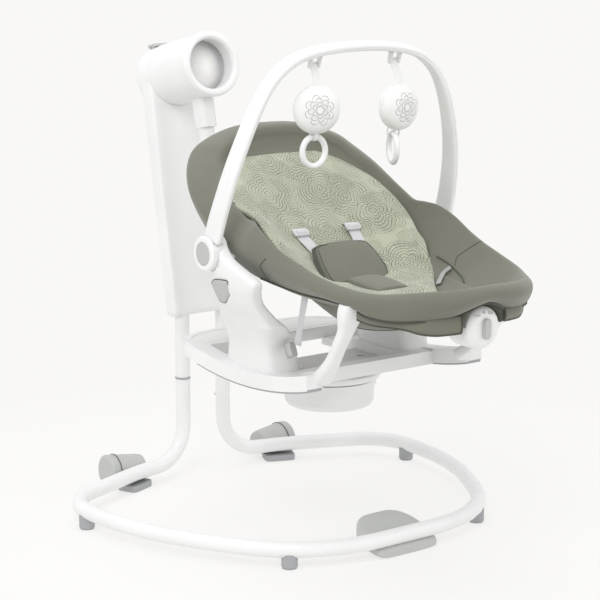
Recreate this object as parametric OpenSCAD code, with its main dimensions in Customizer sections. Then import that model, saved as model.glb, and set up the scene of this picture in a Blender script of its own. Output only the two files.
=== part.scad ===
// Baby swing with a lift-off rocker seat.
// Z is up, the floor is Z = 0, X = 0 is the middle plane and -Y is the foot end of the seat.

/* [Floor frame] */
// Outer diameter of the floor tube
tube_d = 28; // [24:1:30]
// Height of the rubber feet under the tube
foot_h = 18; // [14:1:22]
// Diameter of the rubber feet
foot_d = 28; // [24:1:34]
// Half width of the floor loop at its rear corners
loop_half_w = 377; // [350:1:400]
// Distance of the front tube from the seat's turning axis
loop_front = 216; // [200:1:230]
// Height of the joint in the uprights
collar_z = 195; // [170:1:220]
// Distance between the two uprights
upright_gap = 94; // [84:1:104]

/* [Mast] */
// Angle that the mast leans to the rear
lean = 12.5; // [10:0.5:14]
// Length of the mast from its lower edge to the swing axis
mast_l = 464; // [440:1:480]
// Width of the mast at its lower edge
mast_w = 145; // [135:1:155]
// Thickness of the mast from front to rear
mast_t = 40; // [36:1:44]
// Radius of the drum and of the head around it
drum_r = 61; // [58:1:64]
// Length of the drum in front of the mast
drum_l = 128; // [120:1:136]
// Diameter of the drive shaft
shaft_d = 16; // [12:1:20]
// Outer diameter of the shaft bearing
bearing_d = 35; // [30:1:40]
// Diameter of the light lens
lens_d = 92; // [84:1:96]

/* [Swing arm] */
// Diameter of the swing arm tube
arm_d = 30; // [26:1:32]
// Height of the arm's lower run above the floor
arm_z = 245; // [240:1:250]
// Bend radius of the arm
arm_bend = 70; // [60:1:90]
// Upper radius of the cup
cup_r = 84; // [78:1:88]
// Height of the cup
cup_h = 48; // [44:1:50]
// Diameter of the turntable spigot
spigot_d = 44; // [36:1:50]

/* [Rocker] */
// Radius of the rocking rails
rail_r = 760; // [700:10:900]
// Distance of each rail from the middle plane
rail_x = 177; // [172:1:182]
// Width of a rail
rail_w = 34; // [30:1:36]
// Height of a rail
rail_h = 26; // [22:1:28]
// Height of the lowest point of the rails above the floor
rail_z = 284; // [282:1:290]
// Distance of the pivot hubs above the floor
hub_z = 520; // [515:1:525]
// Outer radius of a pivot hub
hub_r = 30; // [28:1:34]
// Distance of the hub's outer face from the middle plane
hub_x = 270; // [267:1:276]
// Diameter of the pivot pins in the hubs
pin_d = 12; // [10:1:14]
// Diameter of the seat and back frame tubes
frame_d = 16; // [14:1:18]

/* [Seat] */
// Radius of the padded bolster
bolster_r = 37; // [34:1:40]
// Thickness of the seat and back pads
pad_t = 26; // [20:1:30]
// Radius of the vibration unit
unit_r = 36; // [34:1:40]

/* [Toy bar] */
// Height of the toy bar above the hubs, along its own plane
bar_h = 352; // [340:1:365]
// Angle that the toy bar leans forward
bar_lean = 11.5; // [9:0.5:14]
// Width of the toy bar at the hubs
bar_w_low = 46; // [40:1:48]
// Width of the toy bar at its crown
bar_w_top = 29; // [24:1:32]
// Thickness of the toy bar
bar_t = 15; // [13:1:18]
// Diameter of the hanging toys
toy_d = 74; // [66:1:80]
// Thickness of the hanging toys
toy_t = 44; // [36:1:50]
// Distance of each toy from the middle plane
toy_x = 87; // [80:1:92]
// Outer diameter of the teething rings
ring_d = 54; // [48:1:58]

/* [Hidden] */

$fn = 64;
white = [0.95, 0.95, 0.95];
grey = [0.70, 0.71, 0.70];
dark = [0.55, 0.57, 0.60];
sage = [0.75, 0.77, 0.66];
cloth = [0.54, 0.54, 0.48];
gap = 0.3;        // play between pieces that move past each other
fit = 0.05;       // radial play of a shaft in its bore
box_shift = -58.2; // moves the model so that its box is centred on the origin

tube_r = tube_d/2;
tube_z = foot_h + tube_r;
upright_x = upright_gap/2;
upright_y = 403;          // the uprights stand behind the seat's turning axis
mast_z = 320;             // height of the mast's lower edge
deck_t = 12;              // thickness of the rocker's middle deck
turn_z = rail_z + 1;      // top of the turntable, just above the lowest point of the rails
side_signs = [-1, 1];

// ---------------------------------------------------------------- helpers

// Moves a node from the seat's turning axis to the frame of the whole model
module placed() { translate([0, box_shift, 0]) children(); }

function unit(v) = v/norm(v);
function spow(v, p) = sign(v)*pow(abs(v), p);
// Outline of a rounded rectangle with half sizes a and b
function outline(a, b, power, n) =
    [for (i = [0:n - 1]) [a*spow(cos(360*i/n), 2/power), b*spow(sin(360*i/n), 2/power)]];
function in_space(flat, p, ex, ey) = [for (q = flat) p + q[0]*ex + q[1]*ey];

// Skin over a row of rings that all have the same number of points
module loft(rings) {
    n = len(rings[0]);
    last = len(rings) - 1;
    sides = [for (k = [0:last - 1], i = [0:n - 1])
        let (j = (i + 1) % n, a = k*n + i, b = k*n + j, c = (k + 1)*n + j, d = (k + 1)*n + i)
        each [[a, d, c], [a, c, b]]];
    polyhedron(
        points = [for (r = rings) each r],
        faces = concat([[for (i = [0:n - 1]) i]], sides, [[for (i = [n - 1:-1:0]) last*n + i]]),
        convexity = 8);
}

// Straight round rod between two points

// Points along a row of corners whose inner corners are rounded off with the given radii
facet_turn = 9;           // degrees of a bend that one facet covers
function bend_points(a, b, c, r) =
    let (u = unit(b - a), w = unit(c - b), turn = acos(u*w), n = unit(w - (w*u)*u),
        m = b - r*tan(turn/2)*u + r*n, count = max(3, ceil(turn/facet_turn)))
    [for (i = [0:count]) m - r*cos(turn*i/count)*n + r*sin(turn*i/count)*u];
function path_points(corners, bends) =
    let (last = len(corners) - 1)
    concat([corners[0]],
        [for (i = [1:last - 1]) each bend_points(corners[i - 1], corners[i], corners[i + 1], bends[i - 1])],
        [corners[last]]);
function square_to(v, t) = unit(v - (v*t)*t);
// Tube of radius r through a row of points
module tube(p, r, start = [1, 0, 0], sides = 28) {
    n = len(p) - 1;
    dirs = [for (i = [0:n]) unit(p[min(i + 1, n)] - p[max(i - 1, 0)])];
    ex = [for (i = 0, v = square_to(start, dirs[0]); i <= n; i = i + 1,
        v = i <= n ? square_to(v, dirs[i]) : v) v];
    loft([for (i = [0:n]) in_space(outline(r, r, 2, sides), p[i], ex[i], cross(dirs[i], ex[i]))]);
}

// Flat plate outline with round corners
module round_rect(w, h, r) {
    square([w - 2*r, h], center = true);
    square([w, h - 2*r], center = true);
    for (x = [-1, 1], y = [-1, 1])
        translate([x*(w/2 - r), y*(h/2 - r)]) circle(r = r);
}

// Shows its children on the side given by the sign, built for the right-hand side
module on_side(s) { if (s < 0) mirror([1, 0, 0]) children(); else children(); }

// ---------------------------------------------------------------- floor frame

// Corners of the right half of the floor loop, from the upright round to the front
loop_corners = [
    [upright_x, upright_y, collar_z],
    [upright_x, upright_y, tube_z],
    [upright_x + 118, upright_y - 23, tube_z],
    [loop_half_w, upright_y - 112, tube_z],
    [loop_half_w - 11, upright_y - 335, tube_z],
    [201, -loop_front, tube_z]
];
loop_bends = [72, 330, 108, 480, 240];
function flip(p) = [-p.x, p.y, p.z];

floor_bends = concat(loop_bends, [for (i = [len(loop_bends) - 1:-1:0]) loop_bends[i]]);
floor_points = path_points(both_halves(loop_corners), floor_bends);
function both_halves(a) = concat(a, [for (i = [len(a) - 1:-1:0]) flip(a[i])]);
// Stretch of the floor loop, for the bores of the pieces that sit on it
module floor_stretch(low, high) { tube([for (i = [low:high]) floor_points[i]], tube_r + gap); }

module floor_tube() {
    placed() color(white) difference() {
        tube(floor_points, tube_r);
        for (s = side_signs) snap_axis(s) translate([0, 0, tube_r - snap_l])
            cylinder(d = snap_d + 2*fit, h = snap_l);
    }
}

foot_spots = [[loop_half_w - 4, 226], [211, -164]];
module floor_feet() {
    placed() color(dark) difference() {
        for (s = side_signs, p = foot_spots)
            translate([s*p.x, p.y, 0]) {
                cylinder(d = foot_d - 3, h = 3);
                translate([0, 0, 3]) cylinder(d = foot_d, h = tube_z - 3 - tube_r/2);
            }
        floor_stretch(20, 26);
        floor_stretch(30, 35);
        floor_stretch(40, 45);
        floor_stretch(49, 55);
    }
}

// Long grey foot behind the rear run of the floor loop, with a sole under the tube
rear_foot_l = 112;
rear_foot_r = 36;
rear_foot_turn = -22.8;
module at_rear_foot() { translate([172, upright_y - 27.2, 0]) rotate([0, 0, rear_foot_turn]) children(); }
module rear_foot() {
    axis = [-rear_foot_l/2, 24, 30];
    difference() {
        at_rear_foot() {
            intersection() {
                translate(axis) rotate([0, 90, 0])
                    cylinder(r1 = rear_foot_r - 7, r2 = rear_foot_r, h = rear_foot_l);
                translate([-rear_foot_l/2, -3, 0]) cube([rear_foot_l, 120, 120]);
            }
            translate([0, 12, 0]) linear_extrude(foot_h - 3) round_rect(rear_foot_l - 12, 72, 12);
        }
        floor_stretch(11, 17);
        at_rear_foot() translate(axis + [rear_foot_l - 29, 0, 0]) rotate([0, 90, 0]) difference() {
            cylinder(r = rear_foot_r + 9, h = 1.6);
            cylinder(r = rear_foot_r - 4, h = 4, center = true);
        }
    }
}
module rear_feet() { placed() color(grey) for (s = side_signs) on_side(s) rear_foot(); }

// Pedal-shaped pad behind the front tube
pad_w = 156;
module front_pad() {
    placed() color(grey) difference() {
        intersection() {
            rotate([90, 0, 90]) linear_extrude(pad_w, center = true)
                polygon([[-loop_front - 8, 0], [-loop_front + 76, 0], [-loop_front + 80, 8],
                    [-loop_front + 76, 44], [-loop_front + 66, 50], [-loop_front + 20, 34],
                    [-loop_front - 8, 16]]);
            translate([0, -loop_front - 14, 0]) intersection() {
                translate([0, 10, 0]) cylinder(r = pad_w/2, h = 60, $fn = 96);
                translate([-pad_w/2, 0, 0]) cube([pad_w, 110, 60]);
            }
        }
        floor_stretch(35, 40);
    }
}

// ---------------------------------------------------------------- uprights

snap_d = 7;
snap_l = 9;
snap_z = collar_z - 45;
snap_dir = [-0.72, 0.69, 0];   // the buttons face the rear, towards the middle

module snap_axis(s) {
    translate([s*upright_x, upright_y, snap_z])
        rotate([0, 90, s > 0 ? atan2(snap_dir.y, snap_dir.x) : 180 - atan2(snap_dir.y, snap_dir.x)])
            children();
}

module upright(s) {
    translate([s*upright_x, upright_y, collar_z + 4]) cylinder(r = tube_r, h = mast_z + 28 - collar_z - 4);
}
module uprights() { placed() color(white) for (s = side_signs) upright(s); }
module upright_collars() {
    placed() color(dark) for (s = side_signs)
        translate([s*upright_x, upright_y, collar_z]) cylinder(r = tube_r + 0.8, h = 4);
}

module snap_button(s) {
    snap_axis(s) translate([0, 0, tube_r - snap_l + 4]) {
        cylinder(d = snap_d, h = snap_l - 3);
        translate([0, 0, snap_l - 3]) cylinder(d1 = snap_d, d2 = snap_d - 3, h = 1.5);
    }
}
module snap_button_left() { placed() color(dark) snap_button(-1); }
module snap_button_right() { placed() color(dark) snap_button(1); }

// ---------------------------------------------------------------- mast and head

// Frame of the head: origin on the swing axis in the middle plane of the mast, -Y along the axis to the front
head_y = upright_y + mast_l*sin(lean);
head_z = mast_z + mast_l*cos(lean);
module at_head() { translate([0, head_y, head_z]) rotate([-lean, 0, 0]) children(); }

half_t = mast_t/2;
mast_top_w = 2*drum_r + 2;
cap_depth = 20;           // how far the head stands out behind the mast

// Section of the mast at a height below the swing axis
function mast_ring(z, w, t) = in_space(outline(w/2, t/2, 7, 40), [0, 0, z], [1, 0, 0], [0, 1, 0]);
module mast_body() {
    difference() {
        loft([
            mast_ring(-mast_l, mast_w - 14, mast_t - 10),
            mast_ring(-mast_l + 3, mast_w - 5, mast_t - 4),
            mast_ring(-mast_l + 9, mast_w, mast_t),
            mast_ring(-mast_l + 200, (mast_w + mast_top_w)/2, mast_t),
            mast_ring(-60, mast_top_w, mast_t),
            mast_ring(-12, mast_top_w - 4, mast_t - 2)
        ]);
        rotate([90, 0, 0]) cylinder(r = drum_r + fit, h = 2*mast_t, center = true);
        rotate([lean, 0, 0]) for (s = side_signs)
            translate([s*upright_x, upright_y - head_y, -head_z + mast_z - 30])
                cylinder(r = tube_r + fit, h = 58 + fit);
    }
}
slab = 400;
screw_spots = [[-48, -400], [48, -400], [-46, -240], [46, -240], [-44, -110], [44, -110]];
module mast_front() {
    placed() color(white) at_head() difference() {
        mast_body();
        translate([-slab/2, 0, -2*slab]) cube([slab, slab, 3*slab]);
    }
}
door_w = 78;
door_h = 118;
door_z = -300;            // middle of the battery door below the swing axis
module mast_rear() {
    placed() color(white) at_head() difference() {
        mast_body();
        translate([-slab/2, -slab, -2*slab]) cube([slab, slab, 3*slab]);
        translate([0, half_t - 16, door_z]) rotate([-90, 0, 0])
            linear_extrude(30) round_rect(door_w, door_h, 10);
        for (p = screw_spots) translate([p.x, half_t - 7, p.y]) rotate([-90, 0, 0]) cylinder(d = 9, h = 20);
        for (p = screw_spots) translate([p.x, half_t - 17, p.y]) rotate([-90, 0, 0])
            cylinder(d = 4.2, h = 20);
        translate([0, half_t - 12, -mast_l + 52]) rotate([-90, 0, 0]) cylinder(d = 14, h = 20);
    }
}
module mast_screws() {
    placed() color(dark) at_head() for (p = screw_spots)
        translate([p.x, half_t - 16, p.y]) rotate([-90, 0, 0]) {
            cylinder(d = 4.1, h = 10);
            translate([0, 0, 9]) difference() {
                cylinder(d = 8, h = 3);
                translate([0, 0, 1.4]) linear_extrude(3) for (a = [0, 90]) rotate(a) square([5, 1.2], center = true);
            }
        }
}
// Battery door with grip ridges
module battery_door() {
    placed() color(white) at_head() translate([0, half_t - 15.9, door_z]) rotate([-90, 0, 0]) {
        linear_extrude(16) round_rect(door_w - 1, door_h - 1, 9.5);
        for (i = [-3:3]) translate([0, -door_h/2 + 24 + 4*i, 16.4]) cube([36, 1.6, 1], center = true);
    }
}
module power_socket() {
    placed() color(dark) at_head() translate([0, half_t - 11.9, -mast_l + 52]) rotate([-90, 0, 0]) difference() {
        cylinder(d = 13.9, h = 11.5);
        translate([0, 0, 3]) cylinder(d = 6.5, h = 10);
    }
}

// Domed housing behind the drum, carried by the mast
head_front = -half_t;     // plane of the seam between the head and the drum
bearing_l = 14;
panel_w = 58;
panel_l = 34;
module head_cap() {
    placed() color(white) at_head() difference() {
        rotate([90, 0, 0]) rotate_extrude($fn = 96) difference() {
            union() {
                translate([0, -half_t - 2]) square([drum_r, 2*half_t + 2]);
                translate([0, -half_t - 2]) intersection() {
                    translate([0, -cap_depth - 26]) square([drum_r, cap_depth + 26]);
                    translate([drum_r - 22, 0]) circle(r = 22);
                }
                translate([0, -half_t - 24]) square([drum_r - 22, 24]);
            }
            translate([-1, 0]) mirror([1, 0]) square([200, 400], center = false);
        }
        translate([0, head_front - 1, 0]) rotate([-90, 0, 0]) cylinder(d = bearing_d + 2*fit, h = bearing_l + 1);
        translate([0, head_front - 1, 0]) rotate([-90, 0, 0]) cylinder(d = shaft_d + 6, h = bearing_l + 8);
        translate([0, 12, drum_r - 3]) linear_extrude(20) round_rect(panel_w, panel_l, 8);
        for (i = [0:3]) translate([button_x(i), 12, drum_r - 12]) cylinder(d = 10.4, h = 20);
    }
}
function button_x(i) = (i - 1.5)*13.5;
module control_panel() {
    placed() color(grey) at_head() difference() {
        translate([0, 12, drum_r - 3 + fit]) linear_extrude(5) round_rect(panel_w - 1, panel_l - 1, 7.5);
        for (i = [0:3]) translate([button_x(i), 12, drum_r - 12]) cylinder(d = 10.4, h = 40);
    }
}
module panel_button(i) {
    placed() color(white) at_head() translate([button_x(i), 12, drum_r - 9]) {
        cylinder(d = 10, h = 11.5);
        translate([0, 0, 11.5]) cylinder(d1 = 10, d2 = 8, h = 1);
    }
}
module panel_button_1() { panel_button(0); }
module panel_button_2() { panel_button(1); }
module panel_button_3() { panel_button(2); }
module panel_button_4() { panel_button(3); }
module shaft_bearing() {
    placed() color(dark) at_head() translate([0, head_front + 0.4, 0]) rotate([-90, 0, 0]) difference() {
        cylinder(d = bearing_d, h = bearing_l - 0.4);
        translate([0, 0, -1]) cylinder(d = shaft_d + 2*fit, h = bearing_l + 2);
    }
}

// ---------------------------------------------------------------- swinging drum and arm

drum_wall = 3;
drum_back = head_front - gap;
drum_front = head_front - drum_l;
rim_l = 16;
recess_l = 34;            // how deep the light sits behind the rim
lens_shelf = 4;
module along_axis(y) { translate([0, y, 0]) rotate([90, 0, 0]) children(); }

module drive_shaft() {
    placed() color(dark) at_head() along_axis(head_front + bearing_l + 4) cylinder(d = shaft_d, h = bearing_l + 4 + 21.5);
}
// Drum that hangs on the shaft and carries the arm
module drum_shell() {
    placed() color(white) at_head() difference() {
        along_axis(drum_back) union() {
            difference() {
                cylinder(r = drum_r, h = drum_l - rim_l - gap);
                translate([0, 0, 8]) cylinder(r = drum_r - drum_wall, h = drum_l);
            }
            cylinder(d = shaft_d + 14, h = 24);
            translate([0, 0, drum_l - recess_l - rim_l]) difference() {
                cylinder(r = drum_r - drum_wall + 0.5, h = lens_shelf);
                translate([0, 0, -1]) cylinder(r = lens_d/2 - 8, h = 6);
            }
        }
        along_axis(drum_back + 1) cylinder(d = shaft_d + 2*fit, h = 22.6);
        translate([0, neck_y, -drum_r - 10]) cylinder(d = arm_d + 2*fit, h = drum_r + 10 - arm_start + 1);
    }
}
module drum_rim() {
    rim_out = drum_r + 1;
    sleeve_l = recess_l - 16;
    placed() color(white) at_head() along_axis(drum_front + rim_l) rotate_extrude($fn = 96)
        polygon([[lens_d/2 + 3, -sleeve_l], [drum_r - drum_wall - 0.2, -sleeve_l],
            [drum_r - drum_wall - 0.2, 0.1], [drum_r, 0.1], [rim_out, 2], [rim_out, rim_l - 5],
            [rim_out - 1, rim_l - 2], [rim_out - 4, rim_l], [lens_d/2 + 6, rim_l],
            [lens_d/2 + 3, rim_l - 2], [lens_d/2 + 1, rim_l - 6]]);
}
module light_lens() {
    placed() color([0.9, 0.9, 0.88]) at_head() along_axis(drum_front + rim_l + recess_l - lens_shelf - 2*gap) rotate_extrude($fn = 96)
        intersection() {
            square([lens_d/2 + 1, 40]);
            union() {
                square([lens_d/2 + 1, 3]);
                translate([0, -58]) circle(r = 76);
            }
        }
}
neck_y = head_front - 78;
neck_l = 58;
neck_w = 33;
neck_t = 40;
module arm_neck() {
    placed() color(white) at_head() difference() {
        translate([0, neck_y, -drum_r - neck_l + 4]) {
            linear_extrude(neck_l + 20) round_rect(neck_w, neck_t, 11);
        }
        along_axis(drum_back + 10) cylinder(r = drum_r + fit, h = drum_l + 20);
        translate([0, neck_y, -300]) cylinder(d = arm_d + 2*fit, h = 400);
    }
}

// Corners of the arm's middle line
arm_start = 52;           // distance of the arm's upper end below the swing axis
arm_top = [0, head_y + neck_y*cos(lean) - arm_start*sin(lean), head_z - neck_y*sin(lean) - arm_start*cos(lean)];
arm_dir = [0, -sin(lean), -cos(lean)];
arm_corner = arm_top + arm_dir*((arm_top.z - arm_z)/cos(lean));
arm_end = [0, 50, arm_z];
module swing_arm() { placed() color(white) tube(path_points([arm_top, arm_corner, arm_end], [arm_bend]), arm_d/2, [1, 0, 0], 36); }

cup_low = arm_z - cup_h/2;
cup_top = arm_z + cup_h/2;
recess = 6;               // how deep the turntable sits in the cup
module cup() {
    placed() color(white) difference() {
        rotate_extrude($fn = 120) {
            translate([0, cup_low]) square([cup_r - 16, cup_h]);
            translate([0, cup_low + 12]) square([cup_r - 4, cup_h - 12]);
            translate([cup_r - 16, cup_low + 12]) circle(r = 12);
            translate([0, cup_low + cup_h - 9]) square([cup_r, 9]);
        }
        translate([0, 0, cup_top - recess]) cylinder(r = cup_r - 4, h = 10);
        translate([0, arm_end.y, arm_z]) rotate([-90, 0, 0]) cylinder(d = arm_d + 2*fit, h = cup_r);
        translate([0, 0, cup_low + 6]) cylinder(d = spigot_d + 2*fit, h = cup_h);
    }
}
// Turntable that the rocker stands on
plug_w = 66;
plug_h = 9;
module turntable() {
    placed() color(grey) {
        translate([0, 0, cup_top - recess + gap]) cylinder(r = cup_r - 4.5, h = recess + 3 - gap);
        translate([0, 0, cup_top]) cylinder(r = cup_r - 16, h = turn_z - cup_top);
        translate([0, 0, cup_low + 8]) cylinder(d = spigot_d, h = cup_h - 10);
        translate([0, 0, turn_z - 1]) linear_extrude(plug_h + 1) round_rect(plug_w, plug_w, 14);
    }
}

// ---------------------------------------------------------------- rocker

deck_w = 210;
deck_front = -72;
deck_rear = 58;
pocket_play = 0.5;        // play of the turntable's plug in the deck
module deck_block(extra) {
    translate([-deck_w/2 - extra, deck_front - extra, turn_z - extra])
        cube([deck_w + 2*extra, deck_rear - deck_front + 2*extra, deck_t + 2*extra]);
}
// Removable deck with the pocket for the turntable's plug
module deck_plate() {
    placed() color(grey) difference() {
        translate([0, (deck_front + deck_rear)/2, turn_z]) linear_extrude(deck_t)
            round_rect(deck_w, deck_rear - deck_front, 10);
        translate([0, 0, turn_z - 1]) linear_extrude(plug_h + 1 + pocket_play)
            round_rect(plug_w + 2*pocket_play, plug_w + 2*pocket_play, 14 + pocket_play);
        for (s = side_signs) translate([s*72, 0, turn_z + deck_t - 2]) cylinder(d = 16, h = 4);
    }
}

// Piece of a ring around the rocking axis, between two distances from the middle
module arc_strip(r_low, r_high, y_front, y_rear, w) {
    rotate([90, 0, 90]) linear_extrude(w, center = true) intersection() {
        translate([0, rail_z + rail_r]) difference() {
            circle(r = r_low, $fn = 360);
            circle(r = r_high, $fn = 360);
        }
        translate([y_front, rail_z - 20]) square([y_rear - y_front, 120]);
    }
}
rail_front = -188;
rail_rear = 170;
grip_w = rail_w - 3;
rear_edge = 259;
rear_corner = 110;
rear_z = 300;
rear_t = 22;
rear_front = 148;
half_out = rail_x + rail_w/2;
web_z = turn_z + 3;
web_t = 14;
foot_pad_z = rail_z + rail_h + 4;   // flat seat of the towers
module rear_outline(inset) {
    r = rear_corner - inset;
    intersection() {
        union() {
            for (s = side_signs) translate([s*(half_out - rear_corner), rear_edge - rear_corner]) circle(r = r);
            square([2*(half_out - rear_corner), 2*(rear_edge - inset)], center = true);
            square([2*(half_out - inset), 2*(rear_edge - rear_corner)], center = true);
        }
        translate([-300, rear_front + inset]) square([600, 300]);
    }
}
module rocker_base() {
    placed() color(white) difference() {
        union() {
            for (s = side_signs) {
                translate([s*rail_x, 0, 0]) arc_strip(rail_r, rail_r - rail_h, rail_front, rail_rear, rail_w);
                on_side(s) translate([100, -97, web_z]) cube([rail_x - grip_w/2 - 100, 101 + rear_front, web_t]);
                translate([s*142, 6, web_z]) linear_extrude(foot_pad_z - web_z) round_rect(84, 140, 14);
            }
            translate([0, 0, rear_z]) linear_extrude(rear_t - 2) rear_outline(0);
            translate([0, 0, rear_z + rear_t - 2]) linear_extrude(2) rear_outline(2);
            translate([-165, -97, web_z]) cube([330, 25, 24]);
        }
        deck_block(gap/3);
        translate([0, 0, rear_z + rear_t - 1.2]) linear_extrude(2) difference() {
            rear_outline(16);
            rear_outline(18.5);
        }
        for (s = side_signs) translate([s*rail_x, 0, 0])
            arc_strip(rail_r + 12, rail_r - 2, -400, 136, grip_w);
    }
}
module rocker_grips() {
    placed() color(dark) for (s = side_signs) translate([s*rail_x, 0, 0])
        arc_strip(rail_r + 3, rail_r - 2, rail_front + 0.5, 136, grip_w);
}

// Rows of the tower from its foot to its head: height, middle x, half width, middle y, half depth
tower_rows = [[foot_pad_z, 145, 38, 4, 68], [322, 146, 38, 3, 69], [345, 150, 37, 0, 69], [380, 169, 31, -19, 71],
    [411, 196, 21, -26, 68], [437, 220, 16, -34, 64], [475, 242, 14, -52, 59], [494, 245, 13, -43, 52],
    [507, 246, 12, -29, 37], [514, 246, 10, -25, 31]];
boss_in = hub_x - 42;
boss_out = hub_x - 24;
module along_x(x) { translate([x, 0, hub_z]) rotate([0, 90, 0]) children(); }
module tower_body() {
    loft([for (t = tower_rows) in_space(outline(t[2], t[4], 4, 40), [t[1], t[3], t[0]], [1, 0, 0], [0, 1, 0])]);
}
// Outline and place of the tower button on the slanted outer face
button_tilt = 29;
button_dome = 200;
button_shape = [[-7, 33], [-21, 12], [-24, -29], [8, -35], [25, -17], [25, 1]];
module at_button() { translate([245.5, 0, 455]) rotate([0, 90 + button_tilt, 0]) children(); }
module tower(s) {
    on_side(s) difference() {
        union() {
            tower_body();
            along_x(boss_in) cylinder(r = hub_r - 2, h = boss_out - boss_in);
            along_x(boss_in - 20) cylinder(d = pin_d, h = boss_out - boss_in + 30);
        }
        difference() {
            along_x(boss_out) cylinder(r = hub_r + 2, h = 40);
            along_x(boss_out - 1) cylinder(d = pin_d, h = 11);
        }
        at_button() translate([0, 0, -13]) linear_extrude(40) polygon(button_shape);
        seat_tube(frame_d/2 + fit);
    }
}
module tower_left() { placed() color(white) tower(-1); }
module tower_right() { placed() color(white) tower(1); }
module tower_button(s) {
    on_side(s) at_button() intersection() {
        translate([0, 0, -9]) linear_extrude(12.5) scale((33 - gap)/33) polygon(button_shape);
        translate([0, 0, -button_dome]) sphere(r = button_dome + 3.5, $fn = 160);
    }
}
module tower_button_left() { placed() color(dark) tower_button(-1); }
module tower_button_right() { placed() color(dark) tower_button(1); }

// Middle line of the front leg: y, z, half width, half depth
leg_rows = [[-188, 321, 17, 13.4], [-200, 327, 16, 13], [-213, 337, 15, 12.5], [-236, 364, 15, 12], [-255, 396, 15, 12],
    [-268, 423, 15, 12], [-275, 440, 15, 12], [-278, 450, 14, 12]];
leg_x = 174;
function leg_dir(i) = i == 0 ? [0, -1, 0] :
    unit([0, leg_rows[min(i + 1, 7)][0] - leg_rows[i - 1][0], leg_rows[min(i + 1, 7)][1] - leg_rows[i - 1][1]]);
module front_leg(s) {
    n = len(leg_rows) - 1;
    on_side(s) difference() {
        union() {
            loft([for (i = [0:n]) let (t = leg_dir(i), q = leg_rows[i])
                in_space(outline(q[2], q[3], 4, 32), [i == 0 ? rail_x : leg_x, q[0], q[1]], [1, 0, 0], [0, t.z, -t.y])]);
            translate([leg_x, -281, 446]) linear_extrude(24) round_rect(30, 44, 8);
            translate([leg_x - 40, -281, 461]) rotate([0, 90, 0]) cylinder(r = 7, h = 36);
        }
        seat_tube(frame_d/2 + fit);
    }
}
module front_leg_left() { placed() color(white) front_leg(-1); }
module front_leg_right() { placed() color(white) front_leg(1); }

// ---------------------------------------------------------------- hubs

hub_in = boss_out + gap;
disc_r = 20;
module hub(s) {
    on_side(s) difference() {
        along_x(0) rotate_extrude($fn = 96) difference() {
            translate([0, hub_in]) square([hub_r, hub_x - hub_in]);
            translate([hub_r - 4, hub_x - 4]) difference() {
                square([5, 5]);
                circle(r = 4);
            }
        }
        along_x(boss_out) cylinder(d = pin_d + 2*fit, h = 10.5);
        along_x(hub_x - 10.5) cylinder(r = disc_r + gap, h = 20);
        at_bar() translate([hub_x - 23.4, -bar_w_low/2 - gap, 22]) cube([17.2, bar_w_low + 2*gap, 40]);
    }
}
module hub_left() { placed() color(white) hub(-1); }
module hub_right() { placed() color(white) hub(1); }
module hub_button(s) {
    on_side(s) along_x(hub_x - 7) {
        cylinder(r = disc_r, h = 6.5);
        translate([0, 0, 6.5]) cylinder(r1 = disc_r, r2 = disc_r - 1.5, h = 1);
    }
}
module hub_button_left() { placed() color(grey) hub_button(-1); }
module hub_button_right() { placed() color(grey) hub_button(1); }

// ---------------------------------------------------------------- seat and back

seat_corners = [[240, -17, 513], [192, -80, 519], [150, -250, 467], [98, -392, 468]];
seat_bends = [50, 300, 60];
function doubled(a) = concat(a, [for (i = [len(a) - 1:-1:0]) a[i]]);
seat_points = path_points(both_halves(seat_corners), doubled(seat_bends));
module seat_tube(r) { tube(seat_points, r, [0, 0, 1], 20); }
module seat_frame() { placed() color(white) seat_tube(frame_d/2); }

lug_x = boss_in - 12;
back_corners = [[lug_x, 4, 523], [176, 110, 592], [140, 190, 680]];
back_bends = [120, 60];
back_points = path_points(both_halves(back_corners), doubled(back_bends));
module back_tube(r) { tube(back_points, r, [0, -1, 0.5], 20); }
module back_frame() {
    placed() color(white) difference() {
        union() {
            back_tube(frame_d/2);
            for (s = side_signs) on_side(s) along_x(lug_x - 5) cylinder(r = 14, h = 11);
        }
        for (s = side_signs) on_side(s) along_x(lug_x - 20) cylinder(d = pin_d + 2*fit, h = 60);
    }
}

// Smooth row of points through the given points
function curve_point(a, b, c, d, t) =
    0.5*(2*b + (c - a)*t + (2*a - 5*b + 4*c - d)*t*t + (3*b - a - 3*c + d)*t*t*t);
function smooth(p, steps) = let (n = len(p) - 1) concat(
    [for (i = [0:n - 1], k = [0:steps - 1])
        curve_point(p[max(i - 1, 0)], p[i], p[i + 1], p[min(i + 2, n)], k/steps)], [p[n]]);
// Padded roll along a row of points, rounded off at both ends
module roll(p, r, up) {
    n = len(p) - 1;
    dirs = [for (i = [0:n]) unit(p[min(i + 1, n)] - p[max(i - 1, 0)])];
    function ring(i, shift, size) = let (t = dirs[i], ex = unit(cross(up, t)))
        in_space(outline(size, size, 2, 24), p[i] + shift*t, ex, cross(t, ex));
    loft(concat(
        [for (a = [80, 55, 30]) ring(0, -r*0.5*sin(a), r*cos(a))],
        [for (i = [0:n]) ring(i, 0, r)],
        [for (a = [30, 55, 80]) ring(n, r*0.5*sin(a), r*cos(a))]));
}
seat_roll_rows = [[191, -52, 523], [187, -100, 514], [172, -180, 489], [151, -248, 469], [118, -331, 458],
    [90, -371, 464], [50, -394, 474], [0, -402, 478]];
back_roll_rows = [[188, 44, 546], [178, 108, 592], [158, 156, 638], [118, 184, 668], [58, 199, 688], [0, 203, 690]];
function both_sides(a) = concat(a, [for (i = [len(a) - 2:-1:0]) flip(a[i])]);
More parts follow.
